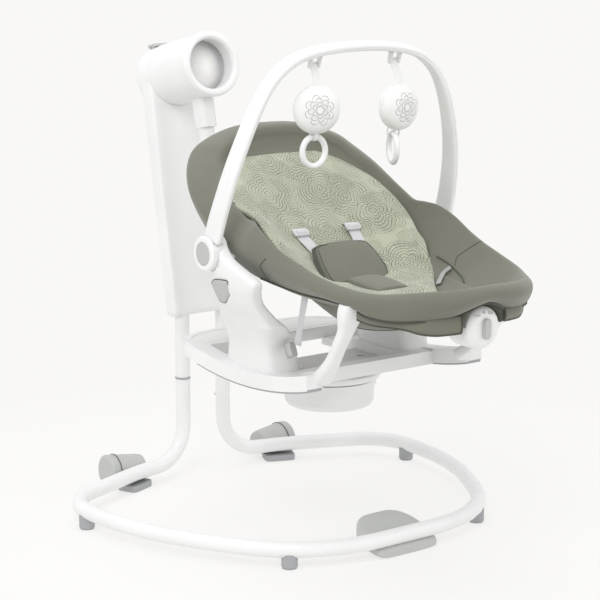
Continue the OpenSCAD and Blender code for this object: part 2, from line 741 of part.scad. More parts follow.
module seat_bolster() {
    placed() color(cloth) difference() {
        roll(smooth(both_sides(seat_roll_rows), 3), bolster_r, [0, 0, 1]);
        seat_tube(frame_d/2 + fit);
        translate([0, -340, unit_z]) rotate([90, 0, 0]) cylinder(r = unit_r + gap, h = 120);
        for (s = side_signs) translate([s*(leg_x - 10), -281, 430]) cube([52, 46, 82], center = true);
        for (s = side_signs) on_side(s) translate([leg_x - 45, -281, 461]) rotate([0, 90, 0]) cylinder(r = 7 + gap, h = 36);
    }
}
module back_bolster() {
    placed() color(cloth) difference() {
        roll(smooth(both_sides(back_roll_rows), 3), bolster_r, [0, -0.8, 0.6]);
        back_tube(frame_d/2 + fit);
    }
}
// Cushion along a line in the middle plane: y, z, half width
module cushion(rows, thick) {
    n = len(rows) - 1;
    p = [for (q = rows) [0, q[0], q[1]]];
    dirs = [for (i = [0:n]) unit(p[min(i + 1, n)] - p[max(i - 1, 0)])];
    function ring(i, shift, size, inset) = in_space(outline(size, thick/2 - inset, 5, 32), p[i] + shift*dirs[i],
        [1, 0, 0], [0, dirs[i].z, -dirs[i].y]);
    loft(concat([ring(0, -6, rows[0][2] - 10, 6)], [ring(0, -3, rows[0][2] - 3, 2)],
        [for (i = [0:n]) ring(i, 0, rows[i][2], 0)],
        [ring(n, 3, rows[n][2] - 3, 2)], [ring(n, 6, rows[n][2] - 10, 6)]));
}
seat_pad_rows = [[-72, 432, 118], [-125, 426, 122], [-182, 425, 120], [-240, 431, 106], [-302, 441, 82], [-345, 452, 60]];
// Distances along the back and out of it become y and z
back_dir = unit([0, 0.73, 0.68]);
back_out = [0, -back_dir.z, back_dir.y];
function on_back(along, out) = along*back_dir + out*back_out;
back_rows = [[294, 349, 118], [350, 342, 128], [400, 340, 130], [455, 341, 126], [505, 346, 112], [545, 351, 94]];
// Distance along the back and half width of the liner, which follows the back pad
liner_sizes = [[330, 122], [350, 126], [400, 132], [455, 132], [505, 119], [545, 99], [551, 94]];
liner_rows = [for (q = liner_sizes) [q[0], lookup(q[0], [for (b = back_rows) [b[0], b[1]]]), q[1]]];
liner_t = 28;
module seat_pad() { placed() color(sage) cushion(seat_pad_rows, pad_t); }
module back_pad() {
    placed() color(cloth) cushion([for (q = back_rows) let (p = on_back(q[0], q[1])) [p.y, p.z, q[2]]], pad_t);
}
module back_liner() {
    lift = (pad_t + liner_t)/2 + 2*gap;
    placed() color(sage) cushion([for (q = liner_rows) let (p = on_back(q[0], q[1] + lift)) [p.y, p.z, q[2]]], liner_t);
}

// Fabric shapes are kept as facets
module fabric() { resize([0, 0, 0]) children(); }

// Fabric sling under a pad: middle point, half width of the pad, reach and rise of the roll it is sewn to
shell_t = 3;
shell_steps = [0.12, 0.3, 0.5, 0.75, 1];
module sling(rows, out) {
    function half(q) = let (flat = q[1] - 4) concat([[flat/2, 0], [flat, 0]],
        [for (u = shell_steps) [flat + (q[2] - flat)*u, q[3]*pow(u, 1.4)]]);
    function ring(q) = let (h = half(q), m = len(h) - 1)
        concat([for (i = [m:-1:0]) q[0] + h[i].x*[1, 0, 0] + h[i].y*out], [q[0]],
            [for (i = [0:m]) q[0] - h[i].x*[1, 0, 0] + h[i].y*out],
            [for (i = [m:-1:0]) q[0] - (h[i].x + 2)*[1, 0, 0] + (h[i].y - shell_t)*out], [q[0] - shell_t*out],
            [for (i = [0:m]) q[0] + (h[i].x + 2)*[1, 0, 0] + (h[i].y - shell_t)*out]);
    loft([for (q = rows) ring(q)]);
}
under = pad_t/2 + 3*gap;
// Rows of the seat's sling: y, z and half width of the pad on it
sling_rows = concat([[-62, 433, 118]], seat_pad_rows, [[-378, 461, 44], [-392, 467, 30]]);
function rim_at(y, i) = lookup(y, [for (q = seat_roll_rows) [q.y, q[i]]]);
module seat_shell() {
    placed() color(cloth) fabric() difference() {
        sling([for (q = sling_rows) [[0, q[0], q[1] - under], q[2], rim_at(q[0], 0), rim_at(q[0], 2) - q[1] + under]],
            [0, 0, 1]);
        roll(smooth(both_sides(seat_roll_rows), 3), bolster_r + gap, [0, 0, 1]);
        translate([0, -340, unit_z]) rotate([90, 0, 0]) cylinder(r = unit_r + gap, h = 120);
    }
}
module back_shell() {
    rows = [[610, 358, 50, 84, 365], [590, 355, 80, 118, 363], [548, 351, 96, 158, 360], [505, 346, 112, 170, 359],
        [455, 341, 126, 183, 361], [396, 340, 130, 188, 368]];
    placed() color(cloth) fabric() difference() {
        sling([for (q = rows) [on_back(q[0], q[1] - under), q[2], q[3], q[4] - q[1] + under]], back_out);
        roll(smooth(both_sides(back_roll_rows), 3), bolster_r + gap, [0, -0.8, 0.6]);
    }
}

// ---------------------------------------------------------------- harness

strap_w = 24;
strap_t = 2;
strap_x = 53;
strap_rows = [[394, 383.6, 0], [384, 385.2, 0], [372, 387.8, 1], [356, 387, 2], [342, 388.8, 3],
    [330, 392.8, 4], [320, 398.8, 4]];
crotch_rows = [[-97, 452], [-85, 460], [-70, 474], [-52, 496], [-42, 510]];
crotch_t = 14;
clip_x = 132;
function strap_ring(p, t, w, th) = in_space(outline(w/2, th/2, 5, 20), p, [1, 0, 0], [0, t.z, -t.y]);
module strap_run(rows, w, th) {
    n = len(rows) - 1;
    p = [for (q = rows) [q[0], q[1], q[2]]];
    loft([for (i = [0:n]) strap_ring(p[i], unit(p[min(i + 1, n)] - p[max(i - 1, 0)]), w, th)]);
}
module harness_straps() {
    placed() color(white) for (s = side_signs) {
        strap_run([for (q = strap_rows) [s*(strap_x + q[2]), 0, 0] + on_back(q[0], q[1])], strap_w, strap_t);
        translate([s*(strap_x + 1), 0, 0] + on_back(372, 387.8)) rotate([-47, 0, 0])
            linear_extrude(16, center = true) difference() {
                round_rect(strap_w + 9, 9, 2);
                square([strap_w + 1, 3], center = true);
            }
    }
}
crotch_w = 132;
module crotch_pad() {
    placed() color(cloth) {
        strap_run([for (q = crotch_rows) [0, q[0], q[1]]], crotch_w, crotch_t);
        translate([-15, -86, 446.2]) rotate([-40, 0, 0]) cube([30, 3, 18]);
    }
}
module strap_clips() {
    placed() color(dark) for (s = side_signs) difference() {
        translate([s*clip_x, -70, 350]) cube([16, 22, 22], center = true);
        on_side(s) tower_body();
        translate([s*clip_x, -76, 346]) cube([11, 3, 30], center = true);
    }
}

// ---------------------------------------------------------------- vibration unit

unit_z = 427;
dial_pin = 10;
unit_back = -353;
unit_front = -409;
unit_round = 15;
dial_y = unit_front + 0.4;
module vibration_unit() {
    placed() color(white) difference() {
        translate([0, unit_back, unit_z]) rotate([90, 0, 0]) rotate_extrude($fn = 96) {
            square([unit_r - 5, 10]);
            square([unit_r - unit_round, unit_back - unit_front]);
            translate([0, 5]) square([unit_r, unit_back - unit_front - unit_round - 5]);
            translate([unit_r - unit_round, unit_back - unit_front - unit_round]) circle(r = unit_round);
            translate([unit_r - 5, 5]) circle(r = 5);
        }
        seat_tube(frame_d/2 + fit);
        translate([0, dial_y, unit_z]) rotate([90, 0, 0]) {
            translate([0, 0, -14]) cylinder(d = dial_pin + 2*fit, h = 20);
        }
    }
}
dial_w = 15;
dial_h = 34;
module dial_outline(inset) {
    square([dial_w - 2*inset, dial_h - dial_w], center = true);
    for (e = side_signs) translate([0, e*(dial_h - dial_w)/2]) circle(d = dial_w - 2*inset);
}
module vibration_dial() {
    placed() color(dark) translate([0, dial_y, unit_z]) rotate([90, 0, 0]) {
        translate([0, 0, -13]) cylinder(d = dial_pin, h = 16);
        translate([0, 0, 0.8]) linear_extrude(5) dial_outline(0);
        translate([0, 0, 5.8]) linear_extrude(1.2) dial_outline(1.2);
    }
}

// ---------------------------------------------------------------- toy bar and toys

module at_bar() { translate([0, 0, hub_z]) rotate([bar_lean, 0, 0]) children(); }
// Half of the bar's middle line in its own plane: x, height
bar_x = hub_x - 14;
bar_rows = [[bar_x, 22.5], [bar_x - 2, 40], [bar_x - 12, 88], [bar_x - 19, 118], [bar_x - 36, 182], [bar_x - 57, 237],
    [bar_x - 80, 272], [bar_x - 118, 308], [bar_x - 162, 332], [bar_x - 204, 342], [0, bar_h - bar_t/2 + 1]];
pivot_y = -4;             // hanging point of the toys in front of the bar's middle plane
pivot_h = 319;
module toy_bar() {
    half = [for (q = bar_rows) [q[0], 0, q[1]]];
    p = smooth(both_sides(half), 3);
    n = len(p) - 1;
    dirs = [for (i = [0:n]) unit(p[min(i + 1, n)] - p[max(i - 1, 0)])];
    placed() color(white) at_bar() difference() {
        union() {
            loft([for (i = [0:n]) let (t = dirs[i], w = bar_w_top + (bar_w_low - bar_w_top)*pow(1 - p[i].z/bar_h, 1.2))
                in_space(outline(w/2, bar_t/2, 4, 24), p[i], [0, 1, 0], [t.z, 0, -t.x])]);
            for (s = side_signs, e = side_signs) translate([s*toy_x + e*4.5, pivot_y, pivot_h]) {
                rotate([0, 90, 0]) cylinder(r = 4, h = 3, center = true);
                translate([-1.5, -4, 0]) cube([3, 8, 14]);
            }
            for (s = side_signs) translate([s*toy_x, pivot_y, pivot_h]) rotate([0, 90, 0])
                cylinder(d = 4, h = 10, center = true);
        }
    }
}
// Place of a toy's hanging point
pivot_at = [0, -pivot_h*sin(bar_lean) + pivot_y*cos(bar_lean),
    hub_z + pivot_h*cos(bar_lean) + pivot_y*sin(bar_lean)];
toy_drop = 75;
loop_r = 8;
module toy(s) {
    translate([s*toy_x, pivot_at.y, pivot_at.z]) {
        difference() {
            union() {
                rotate([0, 90, 0]) cylinder(r = 4, h = 5.4, center = true);
                translate([-2.7, -1.5, -toy_drop + toy_d/2 - 3]) cube([5.4, 3, toy_drop - toy_d/2 + 1]);
            }
            rotate([0, 90, 0]) cylinder(d = 4 + 2*fit, h = 10, center = true);
        }
        translate([0, 0, -toy_drop]) rotate([90, 0, 0]) rotate_extrude() {
            intersection() {
                translate([0, -toy_t/2]) square([toy_d/2 - toy_t/2 + 6, toy_t]);
                translate([0, 30 - toy_t/2 - 9]) circle(r = 60);
                translate([0, -30 + toy_t/2 + 9]) circle(r = 60);
            }
            intersection() {
                translate([toy_d/2 - 17, 0]) circle(r = 17);
                translate([0, -40]) square(80);
            }
        }
        translate([0, 0, -toy_drop - toy_d/2 - loop_r + 2.2]) rotate([0, 0, s < 0 ? 90 : 0]) rotate([90, 0, 0])
            rotate_extrude() translate([loop_r, 0]) circle(r = 1.2);
    }
}
module toy_left() { placed() color(white) toy(-1); }
module toy_right() { placed() color(white) toy(1); }
ring_r = 5;
ring_z = pivot_at.z - toy_drop - toy_d/2 - 2*loop_r + 2.2 + 1.2 + ring_r + gap;  // tube of the ring in its loop
module ring(s) {
    translate([s*toy_x, pivot_at.y, ring_z - ring_d/2 + ring_r]) rotate([0, 0, s < 0 ? 0 : 90]) rotate([90, 0, 0])
        rotate_extrude($fn = 96) translate([ring_d/2 - ring_r, 0]) circle(r = ring_r);
}
module ring_left() { placed() color(white) ring(-1); }
module ring_right() { placed() color(white) ring(1); }

floor_tube();
floor_feet();
rear_feet();
front_pad();
uprights();
upright_collars();
snap_button_left();
snap_button_right();
mast_front();
mast_rear();
mast_screws();
battery_door();
power_socket();
head_cap();
control_panel();
panel_button_1();
panel_button_2();
panel_button_3();
panel_button_4();
shaft_bearing();
drive_shaft();
drum_shell();
drum_rim();
light_lens();
arm_neck();
swing_arm();
cup();
turntable();
deck_plate();
rocker_base();
rocker_grips();
tower_left();
tower_right();
tower_button_left();
tower_button_right();
front_leg_left();
front_leg_right();
hub_left();
hub_right();
hub_button_left();
hub_button_right();
seat_frame();
back_frame();
seat_bolster();
seat_shell();
seat_pad();
back_bolster();
back_shell();
back_pad();
back_liner();
harness_straps();
crotch_pad();
strap_clips();
vibration_unit();
vibration_dial();
toy_bar();
toy_left();
toy_right();
ring_left();
ring_right();
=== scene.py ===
import math

import bmesh
import bpy
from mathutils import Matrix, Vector
from mathutils.bvhtree import BVHTree


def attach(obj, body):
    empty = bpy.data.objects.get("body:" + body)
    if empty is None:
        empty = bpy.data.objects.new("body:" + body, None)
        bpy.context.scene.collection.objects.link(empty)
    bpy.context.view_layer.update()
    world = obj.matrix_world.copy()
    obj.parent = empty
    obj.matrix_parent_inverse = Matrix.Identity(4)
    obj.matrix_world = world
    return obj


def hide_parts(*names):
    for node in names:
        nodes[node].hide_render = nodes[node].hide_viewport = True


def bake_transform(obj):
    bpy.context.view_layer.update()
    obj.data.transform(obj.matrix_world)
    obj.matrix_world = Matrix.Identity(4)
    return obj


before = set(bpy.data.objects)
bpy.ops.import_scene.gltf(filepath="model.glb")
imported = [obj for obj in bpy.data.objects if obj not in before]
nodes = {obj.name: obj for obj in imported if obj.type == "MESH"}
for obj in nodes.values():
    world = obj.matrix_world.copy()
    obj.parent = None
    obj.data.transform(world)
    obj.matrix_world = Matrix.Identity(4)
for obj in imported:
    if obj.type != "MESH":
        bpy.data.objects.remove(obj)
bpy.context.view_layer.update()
turnAxisY = -58.2  # the turntable's axis in the frame, in mm
mm = 0.001
sideNames = {-1: "left", 1: "right"}


def at(x, y, z):  # a point in mm, measured from the turntable's axis and the floor
    return Vector((x, y + turnAxisY, z)) * mm


def addObject(name, data, mat=None):
    obj = bpy.data.objects.new(name, data)
    bpy.context.collection.objects.link(obj)
    if mat:
        data.materials.append(mat)
    return obj


# shader tools
def node(tree, kind, values=None, **settings):
    made = tree.nodes.new(kind)
    for key, value in settings.items():
        setattr(made, key, value)
    for key, value in (values or {}).items():
        made.inputs[key].default_value = value
    return made


def join(tree, *pairs):
    for source, target in pairs:
        tree.links.new(source, target)


def mathIn(tree):  # gives a short way to write a math node's sum in one tree
    def calc(operation, first, second=None, third=None, clamp=False):
        made = node(tree, "ShaderNodeMath", operation=operation, use_clamp=clamp)
        for i, value in enumerate((first, second, third)):
            if isinstance(value, (int, float)):
                made.inputs[i].default_value = value
            elif value is not None:
                tree.links.new(value, made.inputs[i])
        return made.outputs[0]

    return calc


# camera, floor and lamps
view = {
    "place": (-2.0655, -2.7125, 1.0805),
    "target": (0.0, 0.0286, 0.3947),
    "lens": 115.97,
    "filmWidth": 36,
    "reach": 40,
    "background": (0.947, 0.939, 0.923, 1),
}

stageLook = {
    "worldStrength": 0.82,
    "floorColor": (0.9, 0.895, 0.885, 1),
    "floorRadius": 9,
    "floorDrop": 0.0004,
    "floorGlow": 0.72,
    "fade": (0.5, 1.1),  # the floor turns into the backdrop between these distances
    "lamps": {  # place, target, size, power
        "keyLamp": ((-2.6, -1.6, 3.2), (0, 0, 0.5), 2.4, 62),
        "fillLamp": ((2.8, -2.6, 1.8), (0, 0, 0.4), 2.6, 20),
        "topLamp": ((0.3, 0.6, 3.6), (0, 0, 0.3), 3.0, 26),
    },
}


def aim(obj, place, target):
    obj.location = place
    obj.rotation_euler = (Vector(target) - Vector(place)).to_track_quat("-Z", "Y").to_euler()


def makeCamera():
    cam = bpy.data.cameras.new("mainCamera")
    cam.lens = view["lens"]
    cam.sensor_width = view["filmWidth"]
    cam.clip_end = view["reach"]
    obj = addObject("mainCamera", cam)
    aim(obj, view["place"], view["target"])
    bpy.context.scene.camera = obj


def makeLamp(name, place, target, size, power):
    lamp = bpy.data.lights.new(name, "AREA")
    lamp.shape = "DISK"
    lamp.size = size
    lamp.energy = power
    aim(addObject(name, lamp), place, target)


def makeBackdrop():  # even light, with the pale background where the camera looks past everything
    world = bpy.data.worlds.new("studio")
    bpy.context.scene.world = world
    world.use_nodes = True
    tree = world.node_tree
    tree.nodes.clear()
    out = node(tree, "ShaderNodeOutputWorld")
    seen = node(tree, "ShaderNodeBackground", {"Color": view["background"], "Strength": 1})
    white = {"Color": (1, 1, 1, 1), "Strength": stageLook["worldStrength"]}
    light = node(tree, "ShaderNodeBackground", white)
    path = node(tree, "ShaderNodeLightPath")
    mix = node(tree, "ShaderNodeMixShader")
    join(
        tree,
        (path.outputs["Is Camera Ray"], mix.inputs["Fac"]),
        (light.outputs[0], mix.inputs[1]),
        (seen.outputs[0], mix.inputs[2]),
        (mix.outputs[0], out.inputs["Surface"]),
    )


def floorMaterial():
    mat = bpy.data.materials.new("paleFloor")
    mat.use_nodes = True
    tree = mat.node_tree
    tree.nodes.clear()
    near, far = stageLook["fade"]
    out = node(tree, "ShaderNodeOutputMaterial")
    matt = node(tree, "ShaderNodeBsdfDiffuse", {"Color": stageLook["floorColor"]})
    flat = node(tree, "ShaderNodeEmission", {"Color": view["background"]})
    coord = node(tree, "ShaderNodeTexCoord")
    distance = node(tree, "ShaderNodeVectorMath", operation="LENGTH")
    limits = {"From Min": near, "From Max": far, "To Min": stageLook["floorGlow"]}
    fade = node(tree, "ShaderNodeMapRange", limits)
    mix = node(tree, "ShaderNodeMixShader")
    join(
        tree,
        (coord.outputs["Object"], distance.inputs[0]),
        (distance.outputs["Value"], fade.inputs["Value"]),
        (fade.outputs["Result"], mix.inputs["Fac"]),
        (matt.outputs[0], mix.inputs[1]),
        (flat.outputs[0], mix.inputs[2]),
        (mix.outputs[0], out.inputs["Surface"]),
    )
    return mat


def makeStage():
    bpy.context.scene.view_settings.view_transform = "Standard"
    makeBackdrop()
    mesh = bpy.data.meshes.new("studioFloor")
    bm = bmesh.new()
    bmesh.ops.create_circle(bm, cap_ends=True, segments=96, radius=stageLook["floorRadius"])
    bm.to_mesh(mesh)
    bm.free()
    floor = addObject("studioFloor", mesh, floorMaterial())
    floor.location.z = -stageLook["floorDrop"]
    for name, lamp in stageLook["lamps"].items():
        makeLamp(name, *lamp)


# shader groups that several finishes share
def newGroup(name, inputs, outputs):
    group = bpy.data.node_groups.new(name, "ShaderNodeTree")
    for label, kind, value in inputs:
        socket = group.interface.new_socket(name=label, in_out="INPUT", socket_type="NodeSocket" + kind)
        socket.default_value = value
    for label, kind in outputs:
        group.interface.new_socket(name=label, in_out="OUTPUT", socket_type="NodeSocket" + kind)
    return group, group.nodes.new("NodeGroupInput"), group.nodes.new("NodeGroupOutput")


def mouldedGroup():  # fine grain, soft clouds in the colour, roughness that varies a little
    group, start, end = newGroup(
        "mouldedSkin",
        [
            ("Color", "Color", (0.8, 0.8, 0.8, 1)),
            ("Shade", "Color", (0.7, 0.7, 0.7, 1)),
            ("Roughness", "Float", 0.4),
            ("Spread", "Float", 0.08),
            ("Grain Size", "Float", 900.0),
            ("Grain Depth", "Float", 0.1),
        ],
        [("Color", "Color"), ("Roughness", "Float"), ("Normal", "Vector")],
    )
    calc = mathIn(group)
    coord = node(group, "ShaderNodeTexCoord")
    broad = node(group, "ShaderNodeTexNoise", {"Scale": 9.0, "Detail": 3.0, "Roughness": 0.55})
    fine = node(group, "ShaderNodeTexNoise", {"Detail": 2.0, "Roughness": 0.6})
    scuff = node(group, "ShaderNodeTexNoise", {"Scale": 60.0, "Detail": 5.0, "Roughness": 0.7})
    spread = node(group, "ShaderNodeMapRange", {"From Min": 0.35, "From Max": 0.75})
    tone = node(group, "ShaderNodeMix", data_type="RGBA")
    bump = node(group, "ShaderNodeBump", {"Distance": 0.0004})
    around = calc("SUBTRACT", scuff.outputs["Fac"], 0.5)
    rough = calc("MULTIPLY_ADD", around, start.outputs["Spread"], start.outputs["Roughness"])
    join(
        group,
        (coord.outputs["Object"], broad.inputs["Vector"]),
        (coord.outputs["Object"], fine.inputs["Vector"]),
        (coord.outputs["Object"], scuff.inputs["Vector"]),
        (start.outputs["Grain Size"], fine.inputs["Scale"]),
        (broad.outputs["Fac"], spread.inputs["Value"]),
        (spread.outputs["Result"], tone.inputs["Factor"]),
        (start.outputs["Color"], tone.inputs["A"]),
        (start.outputs["Shade"], tone.inputs["B"]),
        (tone.outputs["Result"], end.inputs["Color"]),
        (fine.outputs["Fac"], bump.inputs["Height"]),
        (start.outputs["Grain Depth"], bump.inputs["Strength"]),
        (bump.outputs["Normal"], end.inputs["Normal"]),
        (rough, end.inputs["Roughness"]),
    )
    return group


knitLook = {
    "crossShare": 0.06,  # how much the threads' crossings darken the cloth
    "mottleFrom": 0.35,
    "fleckHeight": 0.6,
    "roughness": 0.82,
    "roughSpread": 0.4,
}


def knitGroup():  # crossing threads along the cloth's own directions, with mottled fibres
    group, start, end = newGroup(
        "knitCloth",
        [
            ("Color", "Color", (0.3, 0.3, 0.25, 1)),
            ("Shade", "Color", (0.2, 0.2, 0.17, 1)),
            ("Threads", "Float", 900.0),
            ("Depth", "Float", 0.3),
            ("Fuzz", "Float", 0.3),
        ],
        [("Color", "Color"), ("Normal", "Vector"), ("Roughness", "Float")],
    )
    look = knitLook
    calc = mathIn(group)
    coord = node(group, "ShaderNodeTexCoord")
    split = node(group, "ShaderNodeSeparateXYZ")
    mottle = node(group, "ShaderNodeTexNoise", {"Scale": 14.0, "Detail": 6.0, "Roughness": 0.65})
    fleck = node(group, "ShaderNodeTexNoise", {"Scale": 420.0, "Detail": 2.0, "Roughness": 0.5})
    tone = node(group, "ShaderNodeMix", data_type="RGBA")
    bump = node(group, "ShaderNodeBump", {"Distance": 0.0003})
    warp = calc("SINE", calc("MULTIPLY", split.outputs["X"], start.outputs["Threads"]))
    weft = calc("SINE", calc("MULTIPLY", split.outputs["Y"], start.outputs["Threads"]))
    cross = calc("MULTIPLY", warp, weft)
    speck = calc("MULTIPLY", calc("SUBTRACT", fleck.outputs["Fac"], 0.5), start.outputs["Fuzz"])
    cloud = calc("ADD", calc("SUBTRACT", mottle.outputs["Fac"], look["mottleFrom"]), speck)
    factor = calc("ADD", cloud, calc("MULTIPLY", cross, look["crossShare"]), clamp=True)
    height = calc("MULTIPLY_ADD", fleck.outputs["Fac"], look["fleckHeight"], cross)
    rough = calc("MULTIPLY_ADD", speck, look["roughSpread"], look["roughness"])
    join(
        group,
        (coord.outputs["UV"], split.inputs[0]),
        (coord.outputs["Object"], mottle.inputs["Vector"]),
        (coord.outputs["Object"], fleck.inputs["Vector"]),
        (factor, tone.inputs["Factor"]),
        (start.outputs["Color"], tone.inputs["A"]),
        (start.outputs["Shade"], tone.inputs["B"]),
        (tone.outputs["Result"], end.inputs["Color"]),
        (height, bump.inputs["Height"]),
        (start.outputs["Depth"], bump.inputs["Strength"]),
        (bump.outputs["Normal"], end.inputs["Normal"]),
        (rough, end.inputs["Roughness"]),
    )
    return group


rosetteLook = {
    "wobble": (0.012, 0.012, 0.0),
    "scatter": 0.75,
    "petals": 2.5,  # half the number of petals
    "petalDepth": 0.16,
    "middle": 0.62,  # share of the reach that is full all around
    "rays": 15.0,
    "rayWidth": 0.035,
    "raySoften": 0.02,
    "rayFrom": 0.62,
    "rayChance": 0.45,  # rosettes with a tint above this carry rays
}


def fanGroup():  # rosettes of thin lines, one in each cell of a loose grid
    group, start, end = newGroup(
        "lineFans",
        [
            ("Size", "Float", 14.0),
            ("Lines", "Float", 9.0),
            ("Reach", "Float", 0.62),
            ("Thickness", "Float", 0.2),
            ("Seed", "Float", 0.0),
        ],
        [("Ink", "Float")],
    )
    look = rosetteLook
    calc = mathIn(group)
    coord = node(group, "ShaderNodeTexCoord")
    wobble = node(group, "ShaderNodeTexNoise", {"Scale": 30.0, "Detail": 2.0})
    shake = node(group, "ShaderNodeVectorMath", {1: look["wobble"]}, operation="MULTIPLY_ADD")
    moved = node(group, "ShaderNodeVectorMath", operation="ADD")
    seed = node(group, "ShaderNodeCombineXYZ")
    cellValues = {"Randomness": look["scatter"], "Scale": 1.0}
    cells = node(group, "ShaderNodeTexVoronoi", cellValues, voronoi_dimensions="2D")
    scaled = node(group, "ShaderNodeVectorMath", operation="SCALE")
    local = node(group, "ShaderNodeVectorMath", operation="SUBTRACT")
    tint = node(group, "ShaderNodeSeparateColor")
    axes = node(group, "ShaderNodeSeparateXYZ")
    radius = node(group, "ShaderNodeVectorMath", operation="LENGTH")
    join(
        group,
        (coord.outputs["UV"], wobble.inputs["Vector"]),
        (wobble.outputs["Color"], shake.inputs[0]),
        (coord.outputs["UV"], shake.inputs[2]),
        (start.outputs["Seed"], seed.inputs["X"]),
        (start.outputs["Seed"], seed.inputs["Y"]),
        (shake.outputs[0], scaled.inputs[0]),
        (start.outputs["Size"], scaled.inputs["Scale"]),
        (scaled.outputs[0], moved.inputs[0]),
        (seed.outputs[0], moved.inputs[1]),
        (moved.outputs[0], cells.inputs["Vector"]),
        (moved.outputs[0], local.inputs[0]),
        (cells.outputs["Position"], local.inputs[1]),
        (cells.outputs["Color"], tint.inputs[0]),
        (local.outputs[0], axes.inputs[0]),
        (local.outputs[0], radius.inputs[0]),
    )
    far = radius.outputs["Value"]
    angle = calc("ARCTAN2", axes.outputs["Y"], axes.outputs["X"])
    spin = calc("ADD", angle, calc("MULTIPLY", tint.outputs["Red"], 6.283))
    petals = calc("ABSOLUTE", calc("COSINE", calc("MULTIPLY", spin, look["petals"])))
    middle = calc("MULTIPLY", start.outputs["Reach"], look["middle"])
    edge = calc("MULTIPLY_ADD", petals, look["petalDepth"], middle)
    share = calc("DIVIDE", far, edge)
    wave = calc("SINE", calc("MULTIPLY", share, calc("MULTIPLY", start.outputs["Lines"], 3.1416)))
    rings = calc("LESS_THAN", calc("ABSOLUTE", wave), start.outputs["Thickness"])
    rayWave = calc("SINE", calc("MULTIPLY", spin, look["rays"]))
    rayWidth = calc("DIVIDE", look["rayWidth"], calc("ADD", far, look["raySoften"]))
    rays = calc("LESS_THAN", calc("ABSOLUTE", rayWave), rayWidth)
    rays = calc("MULTIPLY", rays, calc("GREATER_THAN", share, look["rayFrom"]))
    rays = calc("MULTIPLY", rays, calc("GREATER_THAN", tint.outputs["Green"], look["rayChance"]))
    inside = calc("LESS_THAN", far, edge)
    join(group, (calc("MULTIPLY", calc("MAXIMUM", rings, rays), inside), end.inputs["Ink"]))
    return group


toyPrint = {
    # size, half the number of petals, and turn of each round of petals
    "rounds": ((1.0, 4.0, 0.3), (0.78, 4.0, 1.1), (0.52, 3.0, 0.0), (0.3, 3.0, 0.8)),
    "petalDepth": 0.4,
    "spokes": 12.0,
    "spokeWidth": 4.5,
    "spokeEnds": (0.2, 0.7),
}


def rosetteGroup():  # one rosette of petal outlines around a spot, for the stuffed toys
    inputs = [("Radius", "Float", 0.026), ("Line", "Float", 0.0007)]
    group, start, end = newGroup("lineRosette", inputs, [("Ink", "Float")])
    calc = mathIn(group)
    coord = node(group, "ShaderNodeTexCoord")
    axes = node(group, "ShaderNodeSeparateXYZ")
    join(group, (coord.outputs["UV"], axes.inputs[0]))
    x, y = axes.outputs["X"], axes.outputs["Y"]
    radius, width = start.outputs["Radius"], start.outputs["Line"]
    far = calc("SQRT", calc("ADD", calc("POWER", x, 2.0), calc("POWER", y, 2.0)))
    angle = calc("ARCTAN2", y, x)
    depth = toyPrint["petalDepth"]
    ray = calc("ABSOLUTE", calc("SINE", calc("MULTIPLY", angle, toyPrint["spokes"])))
    spokeWidth = calc("MULTIPLY", width, toyPrint["spokeWidth"])
    spokes = calc("LESS_THAN", calc("MULTIPLY", ray, far), spokeWidth)
    first, last = toyPrint["spokeEnds"]
    spokes = calc("MULTIPLY", spokes, calc("LESS_THAN", far, calc("MULTIPLY", radius, last)))
    total = calc("MULTIPLY", spokes, calc("GREATER_THAN", far, calc("MULTIPLY", radius, first)))
    for size, petals, shift in toyPrint["rounds"]:
        lobe = calc("ABSOLUTE", calc("SINE", calc("MULTIPLY_ADD", angle, petals, shift)))
        edge = calc("MULTIPLY_ADD", calc("POWER", lobe, 0.5), depth * size, (1 - depth) * size)
        off = calc("ABSOLUTE", calc("SUBTRACT", far, calc("MULTIPLY", edge, radius)))
        total = calc("MAXIMUM", total, calc("LESS_THAN", off, width))
    join(group, (total, end.inputs["Ink"]))
    return group


# finishes
groups = {}
mats = {}


def buildGroups():
    groups["moulded"] = mouldedGroup()
    groups["knit"] = knitGroup()
    groups["fans"] = fanGroup()
    groups["rosette"] = rosetteGroup()


def placeGroup(tree, name, values):
    made = tree.nodes.new("ShaderNodeGroup")
    made.node_tree = groups[name]
    for key, value in values.items():
        made.inputs[key].default_value = value
    return made


def newMaterial(name, values):
    mat = bpy.data.materials.new(name)
    mat.use_nodes = True
    tree = mat.node_tree
    shader = tree.nodes["Principled BSDF"]
    for key, value in values.items():
        shader.inputs[key].default_value = value
    mats[name] = mat
    return tree, shader


def feedShader(tree, shader, color, source):
    join(
        tree,
        (color, shader.inputs["Base Color"]),
        (source.outputs["Roughness"], shader.inputs["Roughness"]),
        (source.outputs["Normal"], shader.inputs["Normal"]),
    )


def shaded(color, factor):
    return (*[c * factor for c in color], 1)


